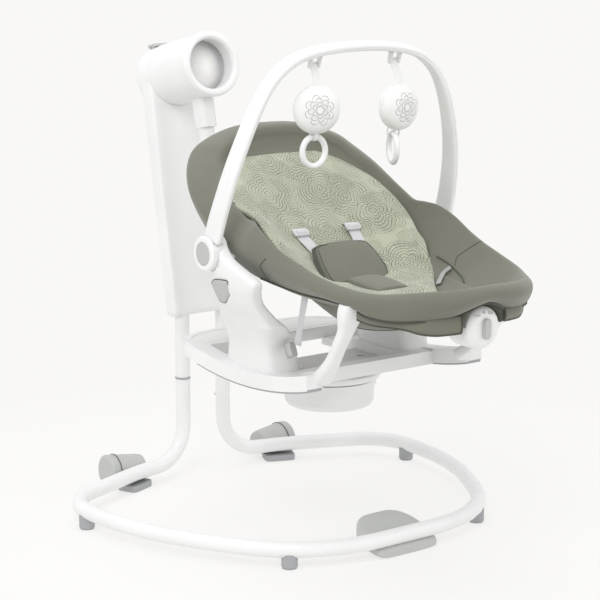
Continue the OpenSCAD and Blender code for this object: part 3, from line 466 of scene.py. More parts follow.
mouldedLook = {
    "shade": 0.94,
    "spread": 0.12,
    "finishes": {  # color, roughness, grain size, grain depth
        "whitePlastic": ((0.85, 0.85, 0.85), 0.36, 700.0, 0.05),
        "whitePaint": ((0.85, 0.85, 0.85), 0.34, 420.0, 0.07),
        "greyPlastic": ((0.50, 0.51, 0.49), 0.5, 1500.0, 0.22),
        "greyRubber": ((0.38, 0.39, 0.4), 0.62, 1100.0, 0.25),
        "greyLight": ((0.72, 0.72, 0.74), 0.4, 1200.0, 0.15),
        # near black for the power socket, and painted shade in the gap round each tower button and in the
        # groove of each rear foot
        "nearBlackAndGapShade": ((0.03, 0.03, 0.03), 0.5, 1200.0, 0.2),
        "ringPlastic": ((0.86, 0.86, 0.86), 0.32, 500.0, 0.04),
        "greyPale": ((0.72, 0.71, 0.70), 0.5, 1200.0, 0.15),
        # a darker white for the toy bar's parting line: painted shade along it
        "seamShadeWhite": ((0.62, 0.62, 0.61), 0.5, 700.0, 0.05),
        "steel": ((0.55, 0.55, 0.56), 0.3, 900.0, 0.15),
    },
    "metals": {"steel": {"Metallic": 1.0}},
}

lensLook = {
    "skin": {"Color": (0.86, 0.86, 0.85, 1), "Shade": (0.8, 0.8, 0.79, 1), "Roughness": 0.16,
             "Spread": 0.1, "Grain Size": 300.0, "Grain Depth": 0.1},
    "shader": {"Subsurface Weight": 0.3, "Subsurface Scale": 0.01,
               "Coat Weight": 0.6, "Coat Roughness": 0.05},
}


def mouldedMaterial(name, skinValues, shaderValues):
    tree, shader = newMaterial(name, shaderValues)
    skin = placeGroup(tree, "moulded", skinValues)
    feedShader(tree, shader, skin.outputs["Color"], skin)


clothLook = {
    "shader": {"Sheen Weight": 0.3, "Sheen Roughness": 0.5, "Specular IOR Level": 0.25},
    "finishes": {  # color, share of the darker tone, threads, depth, fuzz
        "oliveKnit": ((0.184, 0.184, 0.147), 0.80, 3600.0, 0.25, 0.5),
        # the cover's olive at about half brightness, for piping, seams, hems and the unit sleeve: painted
        # shade along them
        "olivePipingShade": ((0.085, 0.085, 0.066), 0.75, 2600.0, 0.3, 0.5),
        "oliveLining": ((0.175, 0.175, 0.14), 0.78, 3200.0, 0.3, 0.5),
        "sagePrint": ((0.475, 0.49, 0.385), 0.90, 3600.0, 0.2, 0.4),
        "webbing": ((0.66, 0.66, 0.68), 0.8, 2400.0, 0.6, 0.3),
        "webbingGrey": ((0.42, 0.42, 0.42), 0.8, 2400.0, 0.6, 0.3),
        "toyCloth": ((0.86, 0.86, 0.85), 0.94, 2600.0, 0.25, 0.3),
        "toyPlain": ((0.86, 0.86, 0.85), 0.94, 2600.0, 0.25, 0.3),
    },
    "prints": {
        "sagePrint": {
            "group": "fans",
            "color": (0.10, 0.115, 0.08, 1),
            "strength": 0.9,
            "layers": [
                {"Size": 11.5, "Lines": 8.0, "Reach": 0.78, "Thickness": 0.27, "Seed": 3.0},
                {"Size": 17.0, "Lines": 6.0, "Reach": 0.62, "Thickness": 0.27, "Seed": 11.0},
            ],
        },
        "toyCloth": {
            "group": "rosette",
            "color": (0.2, 0.215, 0.225, 1),
            "strength": 0.8,
            "layers": [{"Radius": 0.026, "Line": 0.00055}],
        },
    },
}


def clothMaterial(name, color, shade, threads, depth, fuzz):
    tree, shader = newMaterial(name, clothLook["shader"])
    values = {"Color": (*color, 1), "Shade": shaded(color, shade),
              "Threads": threads, "Depth": depth, "Fuzz": fuzz}
    cloth = placeGroup(tree, "knit", values)
    shown = cloth.outputs["Color"]
    ink = clothLook["prints"].get(name, {"layers": []})
    for settings in ink["layers"]:
        lines = placeGroup(tree, ink["group"], settings)
        mix = node(tree, "ShaderNodeMix", data_type="RGBA")
        mix.inputs["B"].default_value = ink["color"]
        strong = mathIn(tree)("MULTIPLY", lines.outputs["Ink"], ink["strength"])
        join(tree, (strong, mix.inputs["Factor"]), (shown, mix.inputs["A"]))
        shown = mix.outputs["Result"]
    feedShader(tree, shader, shown, cloth)


def buildMaterials():
    look = mouldedLook
    for name, (color, rough, size, depth) in look["finishes"].items():
        skin = {"Color": (*color, 1), "Shade": shaded(color, look["shade"]), "Roughness": rough,
                "Spread": look["spread"], "Grain Size": size, "Grain Depth": depth}
        mouldedMaterial(name, skin, look["metals"].get(name, {}))
    for name, values in clothLook["finishes"].items():
        clothMaterial(name, *values)
    mouldedMaterial("frostedLens", lensLook["skin"], lensLook["shader"])


nodeFinish = {  # nodes that aren't plain white plastic
    "whitePaint": ["floor_tube", "uprights", "swing_arm", "seat_frame", "back_frame"],
    "greyPlastic": ["rear_feet", "front_pad", "control_panel", "turntable", "strap_clips", "vibration_dial",
                    "hub_button_left", "hub_button_right", "tower_button_left", "tower_button_right"],
    "greyRubber": ["floor_feet", "upright_collars", "rocker_grips"],
    "greyPale": ["deck_plate"],
    "steel": ["shaft_bearing", "drive_shaft", "mast_screws", "snap_button_left", "snap_button_right"],
    "nearBlackAndGapShade": ["power_socket"],
    "frostedLens": ["light_lens"],
    "ringPlastic": ["ring_left", "ring_right"],
}


def finishNodes():
    chosen = {n: look for look, names in nodeFinish.items() for n in names}
    for name, obj in nodes.items():
        mat = mats[chosen.get(name, "whitePlastic")]
        if obj.type == "MESH":
            for slot in obj.material_slots:
                slot.material = mat
            if not obj.material_slots:
                obj.data.materials.append(mat)


# mesh tools
def onCircle(count):  # angles once around
    return [2 * math.pi * i / count for i in range(count)]


def outline(a, b, power, count):  # an ellipse at power 2, and closer to a rectangle above it
    ring = []
    for angle in onCircle(count):
        c, s = math.cos(angle), math.sin(angle)
        x = a * math.copysign(abs(c) ** (2 / power), c)
        ring.append((x, b * math.copysign(abs(s) ** (2 / power), s)))
    return ring


def turned(angle):
    c, d = math.cos(math.radians(angle)), math.sin(math.radians(angle))
    return lambda x, y: (c * x - d * y, d * x + c * y)


def mirroredX(points):
    return [(-p[0], p[1], p[2]) for p in points]


def smoothRow(points, steps, closed=False):  # a soft curve through all the points
    n = len(points)
    row = []
    for i in range(n if closed else n - 1):
        picks = [(i + k) % n if closed else max(0, min(n - 1, i + k)) for k in (-1, 0, 1, 2)]
        corners = list(zip(*[points[k] for k in picks]))
        for k in range(steps):
            t = k / steps
            row.append(tuple(
                0.5 * (2 * b + (c - a) * t + (2 * a - 5 * b + 4 * c - d) * t * t
                       + (3 * b - a - 3 * c + d) * t ** 3)
                for a, b, c, d in corners
            ))
    if not closed:
        row.append(tuple(points[-1]))
    return row


def sidePath(points, side, steps=6):  # a smooth line in the frame, left for -1 and right for 1
    return [at(side * x, y, z) for x, y, z in smoothRow(points, steps)]


def finishMesh(bm, name, mat):
    bmesh.ops.recalc_face_normals(bm, faces=bm.faces)
    mesh = bpy.data.meshes.new(name)
    bm.to_mesh(mesh)
    bm.free()
    return addObject(name, mesh, mat)


def addFace(bm, uv, corners, spots):
    face = bm.faces.new(corners)
    face.smooth = True
    for loop, spot in zip(face.loops, spots):
        loop[uv].uv = spot
    return face


def loft(name, rings, mat, closed=False):  # a skin over rings, with flat ends or joined end to end
    bm = bmesh.new()
    uv = bm.loops.layers.uv.new("cloth")
    rows = [[bm.verts.new(p) for p in ring] for ring in rings]
    count = len(rows[0])
    along = [0.0]
    for k in range(len(rows) if closed else len(rows) - 1):
        after = (k + 1) % len(rows)
        a, b = rings[k], rings[after]
        gaps = [(Vector(p) - Vector(q)).length for p, q in zip(a[::4], b[::4])]
        along.append(along[-1] + sum(gaps) / len(gaps))
        around = [0.0]
        for i in range(count):
            around.append(around[-1] + (a[(i + 1) % count] - a[i]).length)
        for i in range(count):
            j = (i + 1) % count
            corners = (rows[k][i], rows[k][j], rows[after][j], rows[after][i])
            addFace(bm, uv, corners, [(around[i], along[k]), (around[i + 1], along[k]),
                                      (around[i + 1], along[k + 1]), (around[i], along[k + 1])])
    if not closed:
        for ring in (list(reversed(rows[0])), rows[-1]):
            bm.faces.new(ring).smooth = False
    return finishMesh(bm, name, mats[mat])


def directions(points, closed=False):
    n = len(points)
    found = []
    for i in range(n):
        ahead = points[(i + 1) % n] if closed else points[min(i + 1, n - 1)]
        back = points[(i - 1) % n] if closed else points[max(i - 1, 0)]
        found.append((ahead - back).normalized())
    return found


def frames(points, start, closed=False):  # a point and two directions across the line, without sudden twist
    side = Vector(start)
    found = []
    for p, d in zip(points, directions(points, closed)):
        side = (side - side.dot(d) * d).normalized()
        found.append((p, side.copy(), d.cross(side)))
    return found


def sweep(line, shape):  # carries an outline in mm along a line's frames
    return [[p + ex * a * mm + ey * b * mm for a, b in shape] for p, ex, ey in line]


def tube(name, points, radius, mat, start=(1, 0, 0), count=20, closed=False):
    shape = outline(radius, radius, 2, count)
    return loft(name, sweep(frames(points, start, closed), shape), mat, closed)


def strap(name, points, width, thickness, across, mat):
    line = frames([at(*p) for p in points], across)
    return loft(name, sweep(line, outline(width / 2, thickness / 2, 6, 20)), mat)


def plateRings(shape, centre, axes, levels):  # an outline at several heights and sizes
    across, up, out = axes
    return [[at(*(centre + out * rise + (across * a + up * b) * size)) for a, b in shape]
            for rise, size in levels]


def applyModifiers(obj):
    depsgraph = bpy.context.evaluated_depsgraph_get()
    mesh = bpy.data.meshes.new_from_object(obj.evaluated_get(depsgraph))
    obj.modifiers.clear()
    old = obj.data
    obj.data = mesh
    bpy.data.meshes.remove(old)


def cutBy(obj, cutter):
    mod = obj.modifiers.new("cut", "BOOLEAN")
    mod.operation = "DIFFERENCE"
    mod.solver = "EXACT"
    mod.object = cutter
    bpy.context.view_layer.update()
    applyModifiers(obj)
    bpy.data.objects.remove(cutter, do_unlink=True)


def subdivide(obj):
    mod = obj.modifiers.new("subdivide", "SUBSURF")
    mod.levels = mod.render_levels = 1
    applyModifiers(obj)


stuffing = {"quality": 6, "mass": 0.25, "stretch": 12, "shear": 6, "bend": 0.6, "frames": 20}


def puff(obj, pressure, cap):  # lets the cloth swell, but no point moves more than the cap in mm
    scene = bpy.context.scene
    start = [v.co.copy() for v in obj.data.vertices]
    mod = obj.modifiers.new("stuffing", "CLOTH")
    cloth = mod.settings
    cloth.quality = stuffing["quality"]
    cloth.mass = stuffing["mass"]
    cloth.tension_stiffness = cloth.compression_stiffness = stuffing["stretch"]
    cloth.shear_stiffness = stuffing["shear"]
    cloth.bending_stiffness = stuffing["bend"]
    cloth.use_pressure = True
    cloth.uniform_pressure_force = pressure
    cloth.effector_weights.gravity = 0
    mod.point_cache.frame_start = 1
    mod.point_cache.frame_end = stuffing["frames"]
    for f in range(1, stuffing["frames"] + 1):
        scene.frame_set(f)
    swollen = obj.evaluated_get(bpy.context.evaluated_depsgraph_get())
    moved = [v.co.copy() for v in swollen.to_mesh().vertices]
    swollen.to_mesh_clear()
    obj.modifiers.remove(mod)
    for v, a, b in zip(obj.data.vertices, start, moved):
        step = b - a
        if step.length > cap * mm:
            step *= cap * mm / step.length
        v.co = a + step
    obj.data.update()
    scene.frame_set(1)


def piece(obj, body, slot, *replaced, fill=None):
    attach(obj, body)
    if replaced:
        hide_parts(*replaced)
    return obj


def cord(name, line, radius, **shape):  # piping or a seam on the cover; the cord is real, and its darker olive is painted shade along it
    return piece(tube(name, line, radius, "olivePipingShade", **{"count": 8, **shape}), "rocker", "olive_fabric")


def coverPiece(obj, slot, fill, nodeNames, start, end):  # cloth of the seat cover: hides the nodes it takes the place of, and bakes its place into the mesh
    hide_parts(*nodeNames)
    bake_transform(obj)


# padded rim of the seat
backDir = Vector((0, 0.7317, 0.6816))  # up along the reclined back
backOut = Vector((0, -0.6816, 0.7317))  # out of its face
seatBend = {"start": (0, -40, 490), "end": (0, 60, 580)}  # two points where the seat meets the back, given to the liner and the lining
rimBend = {"start": (0, -40, 500), "end": (0, 60, 590)}


def onBack(along, out, x=0.0):
    p = backDir * along + backOut * out
    return (x, p.y, p.z)


rimSettings = {
    # one row for each station from the foot end to the head: lip, widest point, lower seam, pad edge
    "rows": [
        ((0, -424, 501), (0, -434, 484), (0, -412, 471), (0, -352, 478)),
        ((60, -416, 499), (63, -426, 476), (58, -396, 451), (45, -348, 460)),
        ((106, -388, 496), (114, -396, 474), (113, -375, 447), (68, -335, 455)),
        ((138, -352, 491), (148, -358, 470), (148, -345, 446), (84, -308, 449)),
        ((162, -318, 489), (176, -318, 470), (166, -309, 451), (94, -280, 443)),
        ((181, -278, 494), (197, -278, 476), (170, -276, 461), (106, -240, 447)),
        ((194, -225, 505), (208, -225, 484), (180, -225, 467), (116, -200, 447)),
        ((198, -180, 518), (213, -180, 494), (186, -180, 468), (122, -160, 448)),
        ((204, -135, 534), (219, -135, 504), (189, -135, 471), (125, -115, 450)),
        ((207, -98, 552), (222, -98, 516), (192, -98, 476), (127, -78, 455)),
        ((201, -62, 568), (226, -64, 526), (194, -62, 480), (129, -48, 462)),
        ((191, -36, 573), (225, -32, 532), (192, -28, 484), (131, -24, 482)),
        ((186, -6, 575), (224, 6, 540), (192, 18, 496), (132, 4, 506)),
        ((186, 30, 592), (220, 50, 558), (192, 64, 514), (134, 40, 538)),
        ((182, 66, 612), (218, 98, 590), (190, 116, 552), (136, 76, 568)),
        ((173, 98, 634), (208, 136, 620), (180, 156, 586), (128, 102, 596)),
        ((151, 131, 661), (184, 172, 652), (156, 190, 616), (112, 124, 620)),
        ((122, 146, 682), (150, 192, 678), (126, 206, 642), (92, 140, 638)),
        ((62, 164, 702), (74, 213, 698), (64, 222, 660), (50, 146, 648)),
        ((0, 168, 706), (0, 217, 702), (0, 226, 664), (0, 148, 650)),
    ],
    "steps": 5,
    "sectionSteps": 3,
    "thickness": 8,
    "crown": 5,
    "sideBulge": 3.0,
    "innerHollow": ((0.38, 3.0), (0.7, 4.0)),  # share of the way from lip to pad edge, and depth there
    "lipRoll": (14, 1.0),
    "underRoll": (10, 5),
    "fill": 0.55,
}


def rimSection(lip, wide, seam, edge):
    s = rimSettings
    inward = (edge - lip).normalized()
    side = (wide - lip).normalized()
    down = (seam - lip).normalized()
    top = wide.lerp(lip, 0.5)
    thick = s["thickness"]
    hollow = [lip.lerp(edge, share) + down * depth for share, depth in s["innerHollow"]]
    return [
        seam,
        seam.lerp(wide, 0.5) + side * s["sideBulge"],
        wide,
        top + (top - seam.lerp(edge, 0.5)).normalized() * s["crown"],
        lip,
        lip + inward * s["lipRoll"][0] - down * s["lipRoll"][1],
        *hollow,
        edge,
        edge + down * thick,
        edge.lerp(seam, 0.5) + down * thick * 0.9,
        seam + (edge - seam).normalized() * s["underRoll"][0] + down * s["underRoll"][1],
    ]


def makeRim():
    s = rimSettings
    half = [[c for p in row for c in p] for row in s["rows"]]
    other = [[c for p in mirroredX(row) for c in p] for row in reversed(s["rows"][1:-1])]
    rings = []
    for row in smoothRow(half + other, s["steps"], closed=True):
        section = rimSection(*[Vector(row[i:i + 3]) for i in range(0, 12, 3)])
        rings.append([at(*p) for p in smoothRow(section, s["sectionSteps"], closed=True)])
    rim = loft("paddedRim", rings, "oliveKnit", closed=True)
    subdivide(rim)
    for poly in rim.data.polygons:
        poly.use_smooth = True
    coverPiece(rim, "olive_fabric", s["fill"], ("seat_bolster", "back_bolster"), **rimBend)
    return rim


trimSettings = {
    # radius, lift off the rim, line on the right half
    "seams": {
        "rimWallSeam": (0.9, 0.2, [(194, -84, 478), (210, -88, 491), (219.5, -92, 505), (221, -104, 516),
                                   (219, -112, 522)]),
        "wingSeam": (0.9, 0.0, [(198, -180, 520), (180, -160, 501), (168, -150, 488), (156, -158, 477)]),
        "legHolePiping": (1.7, 0.6, [(155, -107, 488), (154, -135, 481), (150, -159, 474), (140, -194, 463),
                                     (130, -212, 454)]),
    },
    "loop": [(104, -172, 452), (121, -160, 459), (135, -152, 466), (145, -158, 475)],
    "loopTape": (9, 1.6),
    "pipe": 1.7,
    "pipeRows": 11,  # the piping runs along the lower seam of the stations up to here
    "pipeOut": 1.0,
    "pipeDrop": 1.5,
    "sleeveHeight": 427,
    "sleeve": [(37.5, -402), (37.5, -362), (54, -362), (54, -402)],  # radius and y of its section
    "sleeveArc": (0.04, 0.96, 24),  # start and end as shares of a half turn, and steps
}


def drape(points, obj, lift):  # lays the points on the surface of a piece
    tree = BVHTree.FromPolygons([v.co for v in obj.data.vertices], [p.vertices for p in obj.data.polygons])
    laid = []
    for p in points:
        spot, normal = tree.find_nearest(p)[:2]
        laid.append(spot + normal * lift * mm)
    return laid


def makeRimTrims(rim):
    s = trimSettings
    for side in (-1, 1):
        for name, (radius, lift, line) in s["seams"].items():
            cord(name, drape(sidePath(line, side), rim, lift), radius)
        loop = [(side * x, y, z) for x, y, z in smoothRow(s["loop"], 6)]
        piece(strap("sideLoop", loop, *s["loopTape"], (0, 1, 0), "webbingGrey"), "rocker", "webbing")
    low = []
    for row in rimSettings["rows"][:s["pipeRows"]]:
        seam, edge = Vector(row[2]), Vector(row[3])
        low.append(tuple(seam + (seam - edge).normalized() * s["pipeOut"] + Vector((0, 0, -s["pipeDrop"]))))
    low = mirroredX(reversed(low[1:])) + low
    cord("rimPiping", sidePath(low, 1, 5), s["pipe"], start=(0, 1, 0), count=10)


def makeUnitSleeve():  # the cover's sleeve over the vibration unit, in the darker olive that is painted shade
    s = trimSettings
    first, last, steps = s["sleeveArc"]
    rings = []
    for i in range(steps + 1):
        a = math.pi * (first + (last - first) * i / steps)
        rings.append([at(r * math.cos(a), y, s["sleeveHeight"] + r * math.sin(a)) for r, y in s["sleeve"]])
    piece(loft("unitSleeve", rings, "olivePipingShade"), "rocker", "olive_fabric")


# cloth made of an upper and a lower sheet of points
def borderOf(rows, columns):  # index pairs once around a sheet
    down, across = range(rows - 1), range(columns - 1)
    return ([(0, j) for j in across] + [(i, columns - 1) for i in down]
            + [(rows - 1, j + 1) for j in reversed(across)] + [(i + 1, 0) for i in reversed(down)])


def padMesh(name, top, bottom, mat):
    bm = bmesh.new()
    uv = bm.loops.layers.uv.new("cloth")
    rows, columns = len(top), len(top[0])
    upper, lower = [], []
    for i in range(rows):
        upper.append([])
        lower.append([])
        for j in range(columns):
            upper[-1].append(bm.verts.new(at(*top[i][j])))
            lower[-1].append(bm.verts.new(at(*bottom[i][j])))
    mid = columns // 2
    along, across = [0.0], []
    for i in range(1, rows):
        along.append(along[-1] + (top[i][mid] - top[i - 1][mid]).length * mm)
    for line in top:
        reach = [0.0]
        for j in range(1, columns):
            reach.append(reach[-1] + (line[j] - line[j - 1]).length * mm)
        across.append([v - reach[mid] for v in reach])

    def face(corners, places):
        addFace(bm, uv, corners, [(across[i][j], along[i]) for i, j in places])

    for i in range(rows - 1):
        for j in range(columns - 1):
            q = ((i, j), (i, j + 1), (i + 1, j + 1), (i + 1, j))
            face([upper[a][b] for a, b in q], q)
            face([lower[a][b] for a, b in reversed(q)], list(reversed(q)))
    border = borderOf(rows, columns)
    for a, b in zip(border, border[1:] + border[:1]):
        face([upper[b[0]][b[1]], upper[a[0]][a[1]], lower[a[0]][a[1]], lower[b[0]][b[1]]], (b, a, a, b))
    return finishMesh(bm, name, mats[mat])


def hollowSheet(name, settings, mat):  # a padded sheet that dips between its two edges
    count = settings["columns"]
    flat = [(*middle, *edge, power) for middle, edge, power in settings["rows"]]
    top = []
    for cy, cz, ex, ey, ez, power in smoothRow(flat, settings["steps"]):
        row = []
        for i in range(count + 1):
            t = -1 + 2 * i / count
            u = math.copysign(abs(t) ** settings["gather"], t)
            g = abs(t) ** power
            row.append(Vector((ex * u, cy + (ey - cy) * g, cz + (ez - cz) * g)))
        top.append(row)
    return padMesh(name, top, liftRows(top, -settings["thickness"]), mat)


def liftRows(rows, lift):
    lifted = []
    for i, row in enumerate(rows):
        made = []
        for j, p in enumerate(row):
            du = row[min(j + 1, len(row) - 1)] - row[max(j - 1, 0)]
            dv = rows[min(i + 1, len(rows) - 1)][j] - rows[max(i - 1, 0)][j]
            made.append(p + dv.cross(du).normalized() * lift)
        lifted.append(made)
    return lifted


# skirt that hangs from the rim's lower seam at the foot end
skirtSettings = {
    # x, y, height of the upper and of the lower edge
    "rows": [
        (170, -272, 463, 448),
        (165, -296, 459, 440),
        (156, -320, 457, 436),
        (143, -342, 454, 435),
        (126, -360, 452, 432),
        (110, -374, 451, 426),
        (90, -388, 451, 423),
        (66, -396, 452, 423),
        (46, -401, 453, 424),
    ],
    "share": {-1: 1.0, 1: 0.7},  # how far it hangs down on each side
    "steps": 8,
    "bulge": (1.0, 3.2),
    "thickness": 5,
    "pressure": 2.0,
    "cap": 2.0,
    "hem": 1.6,
    "end": 1.8,
    "fill": 0.35,
}


def makeSkirt():
    s = skirtSettings
    rows = smoothRow(s["rows"], 5)
    last = len(rows) - 1
    for side in (-1, 1):
        outer, inner = [], []
        for i, (x, y, top, low) in enumerate(rows):
            a, b = rows[max(i - 1, 0)], rows[min(i + 1, last)]
            out = Vector((-(b[1] - a[1]), b[0] - a[0], 0)).normalized()
            up, down = [], []
            for k in range(s["steps"] + 1):
                t = k / s["steps"]
                bulge = s["bulge"][1] * math.sin(math.pi * t) + s["bulge"][0]
                p = Vector((x, y, top + (low - top) * t * s["share"][side])) + out * bulge
                q = p - out * s["thickness"]
                up.append(Vector((side * p.x, p.y, p.z)))
                down.append(Vector((side * q.x, q.y, q.z)))
            outer.append(up)
            inner.append(down)
        skirt = padMesh("frontSkirt", outer, inner, "oliveKnit")
        puff(skirt, s["pressure"], s["cap"])
        subdivide(skirt)
        piece(skirt, "rocker", "olive_fabric", fill=s["fill"])
        cord("skirtHem", [at(*row[-1]) for row in outer], s["hem"])
        cord("skirtEnd", [at(*p) for p in outer[-1]], s["end"])


# tubes inside the cover
frameSettings = {
    "inside": (0.4, 0.3, 0.2, 0.1),  # share of lip, widest point, seam and pad edge in the tube's place
    "seatRows": 9,  # the seat tube follows this many stations from the foot end
    "backStart": (212, 4, 523),
    "backFrom": 13,  # the back tube follows the stations from this one on
    "radius": 8,
    "lug": (14, 520, (198, 213)),  # radius, height, inner and outer end
}


def makeSeatTubes():
    s = frameSettings
    inside = []
    for row in rimSettings["rows"]:
        inside.append(tuple(sum((Vector(p) * share for p, share in zip(row, s["inside"])), Vector())))
    halves = (
        ("seatTube", "rocker", "seat_frame", list(reversed(inside[:s["seatRows"]]))),
        ("backTube", "back", "back_frame", [s["backStart"]] + inside[s["backFrom"]:]),
    )
    for name, body, nodeName, half in halves:
        line = sidePath(half + mirroredX(reversed(half[:-1])), 1)
        piece(tube(name, line, s["radius"], "whitePaint", (0, 0, 1)), body, "white_metal", nodeName)
    radius, height, ends = s["lug"]
    for side in (-1, 1):
        rings = [[at(side * x, a, height + b) for a, b in outline(radius, radius, 2, 32)] for x in ends]
        piece(loft("backLug", rings, "whitePaint"), "back", "white_metal")


# printed liner and the plain lining under it
linerSettings = {
    # middle of the surface (y, z), edge of the surface (x, y, z), sharpness of the hollow
    "rows": [
        (onBack(563, 380)[1:], onBack(559, 381, 88), 2.2),
        (onBack(556, 379)[1:], onBack(550, 381, 108), 2.2),
        (onBack(540, 377)[1:], onBack(532, 382, 134), 2.2),
        (onBack(515, 375)[1:], onBack(508, 384, 157), 2.3),
        (onBack(485, 373)[1:], onBack(480, 392, 171), 2.5),
        (onBack(450, 371)[1:], onBack(450, 402, 172), 2.8),
        (onBack(415, 370)[1:], onBack(418, 415, 168), 3.0),
        (onBack(380, 370)[1:], onBack(382, 427, 160), 3.0),
        (onBack(345, 371)[1:], onBack(346, 431, 157), 2.8),
        (onBack(318, 374)[1:], onBack(315, 432, 153), 2.6),
        ((-48, 467), (152, -84, 516), 2.4),
        ((-72, 456), (147, -104, 492), 2.4),
        ((-100, 451), (137, -128, 474), 2.4),
        ((-140, 449), (115, -158, 461), 2.4),
        ((-185, 449), (88, -192, 457), 2.4),
        ((-225, 451), (62, -226, 456), 2.4),
    ],
    "steps": 4,
    "columns": 40,
    "gather": 0.92,
    "thickness": 9,
    "pressure": 3.0,
    "cap": 7,
    "fill": 0.5,
}


def makeLiner():
    s = linerSettings
    liner = hollowSheet("sageLiner", s, "sagePrint")
    puff(liner, s["pressure"], s["cap"])
    subdivide(liner)
    coverPiece(liner, "sage_fabric", s["fill"], ("back_liner",), **seatBend)


liningSettings = {
    "rows": [
        (onBack(600, 368)[1:], onBack(596, 372, 60), 2.0),
        (onBack(585, 366)[1:], onBack(580, 370, 96), 2.2),
        (onBack(560, 364)[1:], onBack(552, 370, 132), 2.2),
        (onBack(520, 360)[1:], onBack(512, 374, 152), 2.4),
        (onBack(480, 357)[1:], onBack(476, 380, 160), 2.6),
        (onBack(440, 355)[1:], onBack(440, 392, 164), 2.8),
        (onBack(400, 355)[1:], onBack(402, 404, 163), 3.0),
        (onBack(360, 355)[1:], onBack(362, 412, 160), 3.0),
        (onBack(325, 357)[1:], onBack(325, 412, 157), 2.8),
        ((-46, 452), (152, -80, 500), 2.6),
        ((-72, 442), (148, -106, 480), 2.6),
        ((-105, 437), (142, -134, 469), 2.6),
        ((-150, 434), (134, -168, 461), 2.6),
        ((-200, 435), (126, -210, 459), 2.6),
        ((-250, 441), (110, -256, 459), 2.6),
        ((-300, 449), (88, -302, 459), 2.6),
        ((-345, 459), (62, -346, 466), 2.6),
        ((-372, 468), (40, -372, 471), 2.4),
    ],
    "steps": 4,
    "columns": 40,
    "gather": 0.92,
    "thickness": 8,
    "fill": 0.4,
}


def makeLining():
    s = liningSettings
    lining = hollowSheet("seatLining", s, "oliveLining")
    subdivide(lining)
    hidden = ("seat_pad", "back_pad", "seat_shell", "back_shell")
    coverPiece(lining, "olive_fabric", s["fill"], hidden, **seatBend)


# shoulder straps
harnessSettings = {
    # along the back, out of it, away from the middle
    "run": [(386, 372, 58), (382, 380, 58), (372, 383, 58), (358, 384, 57), (342, 386, 54),
            (328, 386, 50), (312, 382, 46)],
    "width": 24,
    "thickness": 1.8,
    "adjuster": (31, 15),
    "adjusterLevels": ((-3.5, 0.9), (-2.5, 1.0), (2.5, 1.0), (3.5, 0.9)),  # rise and size
    "adjusterAt": (369, 386, 58),
    "loop": [(7.5, -2), (4, 3.6), (0, 4.6), (-4, 3.6), (-8, -1)],  # the strap's way through the adjuster
    "loopTape": (23, 1.6),
}


def makeHarness():
    s = harnessSettings
    for side in (-1, 1):
        run = [onBack(along, out, side * x) for along, out, x in s["run"]]
        belt = strap("harnessStrap", smoothRow(run, 4), s["width"], s["thickness"], (1, 0, 0), "webbing")
        piece(belt, "back", "webbing", *(["harness_straps"] if side < 0 else []))
        w, h = s["adjuster"]
        along, out, x = s["adjusterAt"]
        mid = Vector(onBack(along, out, side * x))
        axes = (Vector((1, 0, 0)), backDir, backOut)
        rings = plateRings(outline(w / 2, h / 2, 5, 32), mid, axes, s["adjusterLevels"])
        piece(loft("strapAdjuster", rings, "greyLight"), "back", "webbing")
        loop = [mid + backDir * a + backOut * b for a, b in s["loop"]]
        piece(strap("adjusterLoop", loop, *s["loopTape"], (1, 0, 0), "webbing"), "back", "webbing")


# crotch pad and the folded tab below it
crotchSettings = {
    # y, z, half width from the lower edge to the upper one
    "rows": [(-88, 452, 60), (-79, 461, 66), (-66, 474, 67), (-53, 486, 65), (-40, 498, 61), (-26, 509, 55)],
    "columns": 32,
    "thickness": 11,
    "crown": 5,
    "cornerFrom": (0.8, 0.75, 60),  # the corners draw in beyond these shares of the width and the length
    "pressure": 2.5,
    "cap": 4,
    "fill": 0.55,
    "binding": (3.1, 2.5),  # radius, distance outside the pad's edge
    "stitch": (0.9, 0.1),  # radius, lift off the pad
    # y, z, half width
    "tab": [(-80, 463, 30), (-95, 467, 35), (-120, 466, 38), (-150, 463, 38), (-178, 460, 34)],
    "tabColumns": 16,
    "tabThickness": 13,
    "tabDroop": 3,
    "tabFill": 0.4,
}


def crotchSheets():
    s = crotchSettings
    rows = smoothRow(s["rows"], 4)
    last = len(rows) - 1
    wideFrom, longFrom, pull = s["cornerFrom"]
    top, bottom = [], []
    for i, (y, z, w) in enumerate(rows):
        a, b = rows[max(i - 1, 0)], rows[min(i + 1, last)]
        d = Vector((0, b[0] - a[0], b[1] - a[1])).normalized()
        up = Vector((0, -d.z, d.y))
        end = 2 * i / last - 1
        rowTop, rowBottom = [], []
        for j in range(s["columns"] + 1):
            t = -1 + 2 * j / s["columns"]
            corner = max(0, abs(t) - wideFrom) * max(0, abs(end) - longFrom) * pull
            rise = s["crown"] * (1 - t * t)
            p = Vector((w * t, y, z)) - d * math.copysign(corner, end)
            rowTop.append(p + up * (s["thickness"] * 0.5 + rise))
            rowBottom.append(p + up * (-s["thickness"] * 0.5 + rise))
        top.append(rowTop)
        bottom.append(rowBottom)
    return top, bottom


def makeCrotchTab():
    s = crotchSettings
    shares = [-1 + 2 * j / s["tabColumns"] for j in range(s["tabColumns"] + 1)]
    over, under = [], []
    for y, z, w in smoothRow(s["tab"], 4):
        over.append([Vector((w * t, y, z - s["tabDroop"] * abs(t) ** 3)) for t in shares])
        under.append([p + Vector((0, 0, -s["tabThickness"])) for p in over[-1]])
    tab = padMesh("crotchTab", over, under, "oliveLining")
    subdivide(tab)
    piece(tab, "rocker", "olive_fabric", fill=s["tabFill"])


def makeCrotchPad():
    s = crotchSettings
    pad = padMesh("crotchPad", *crotchSheets(), "oliveKnit")
    puff(pad, s["pressure"], s["cap"])
    subdivide(pad)
    return piece(pad, "rocker", "olive_fabric", "crotch_pad", fill=s["fill"])


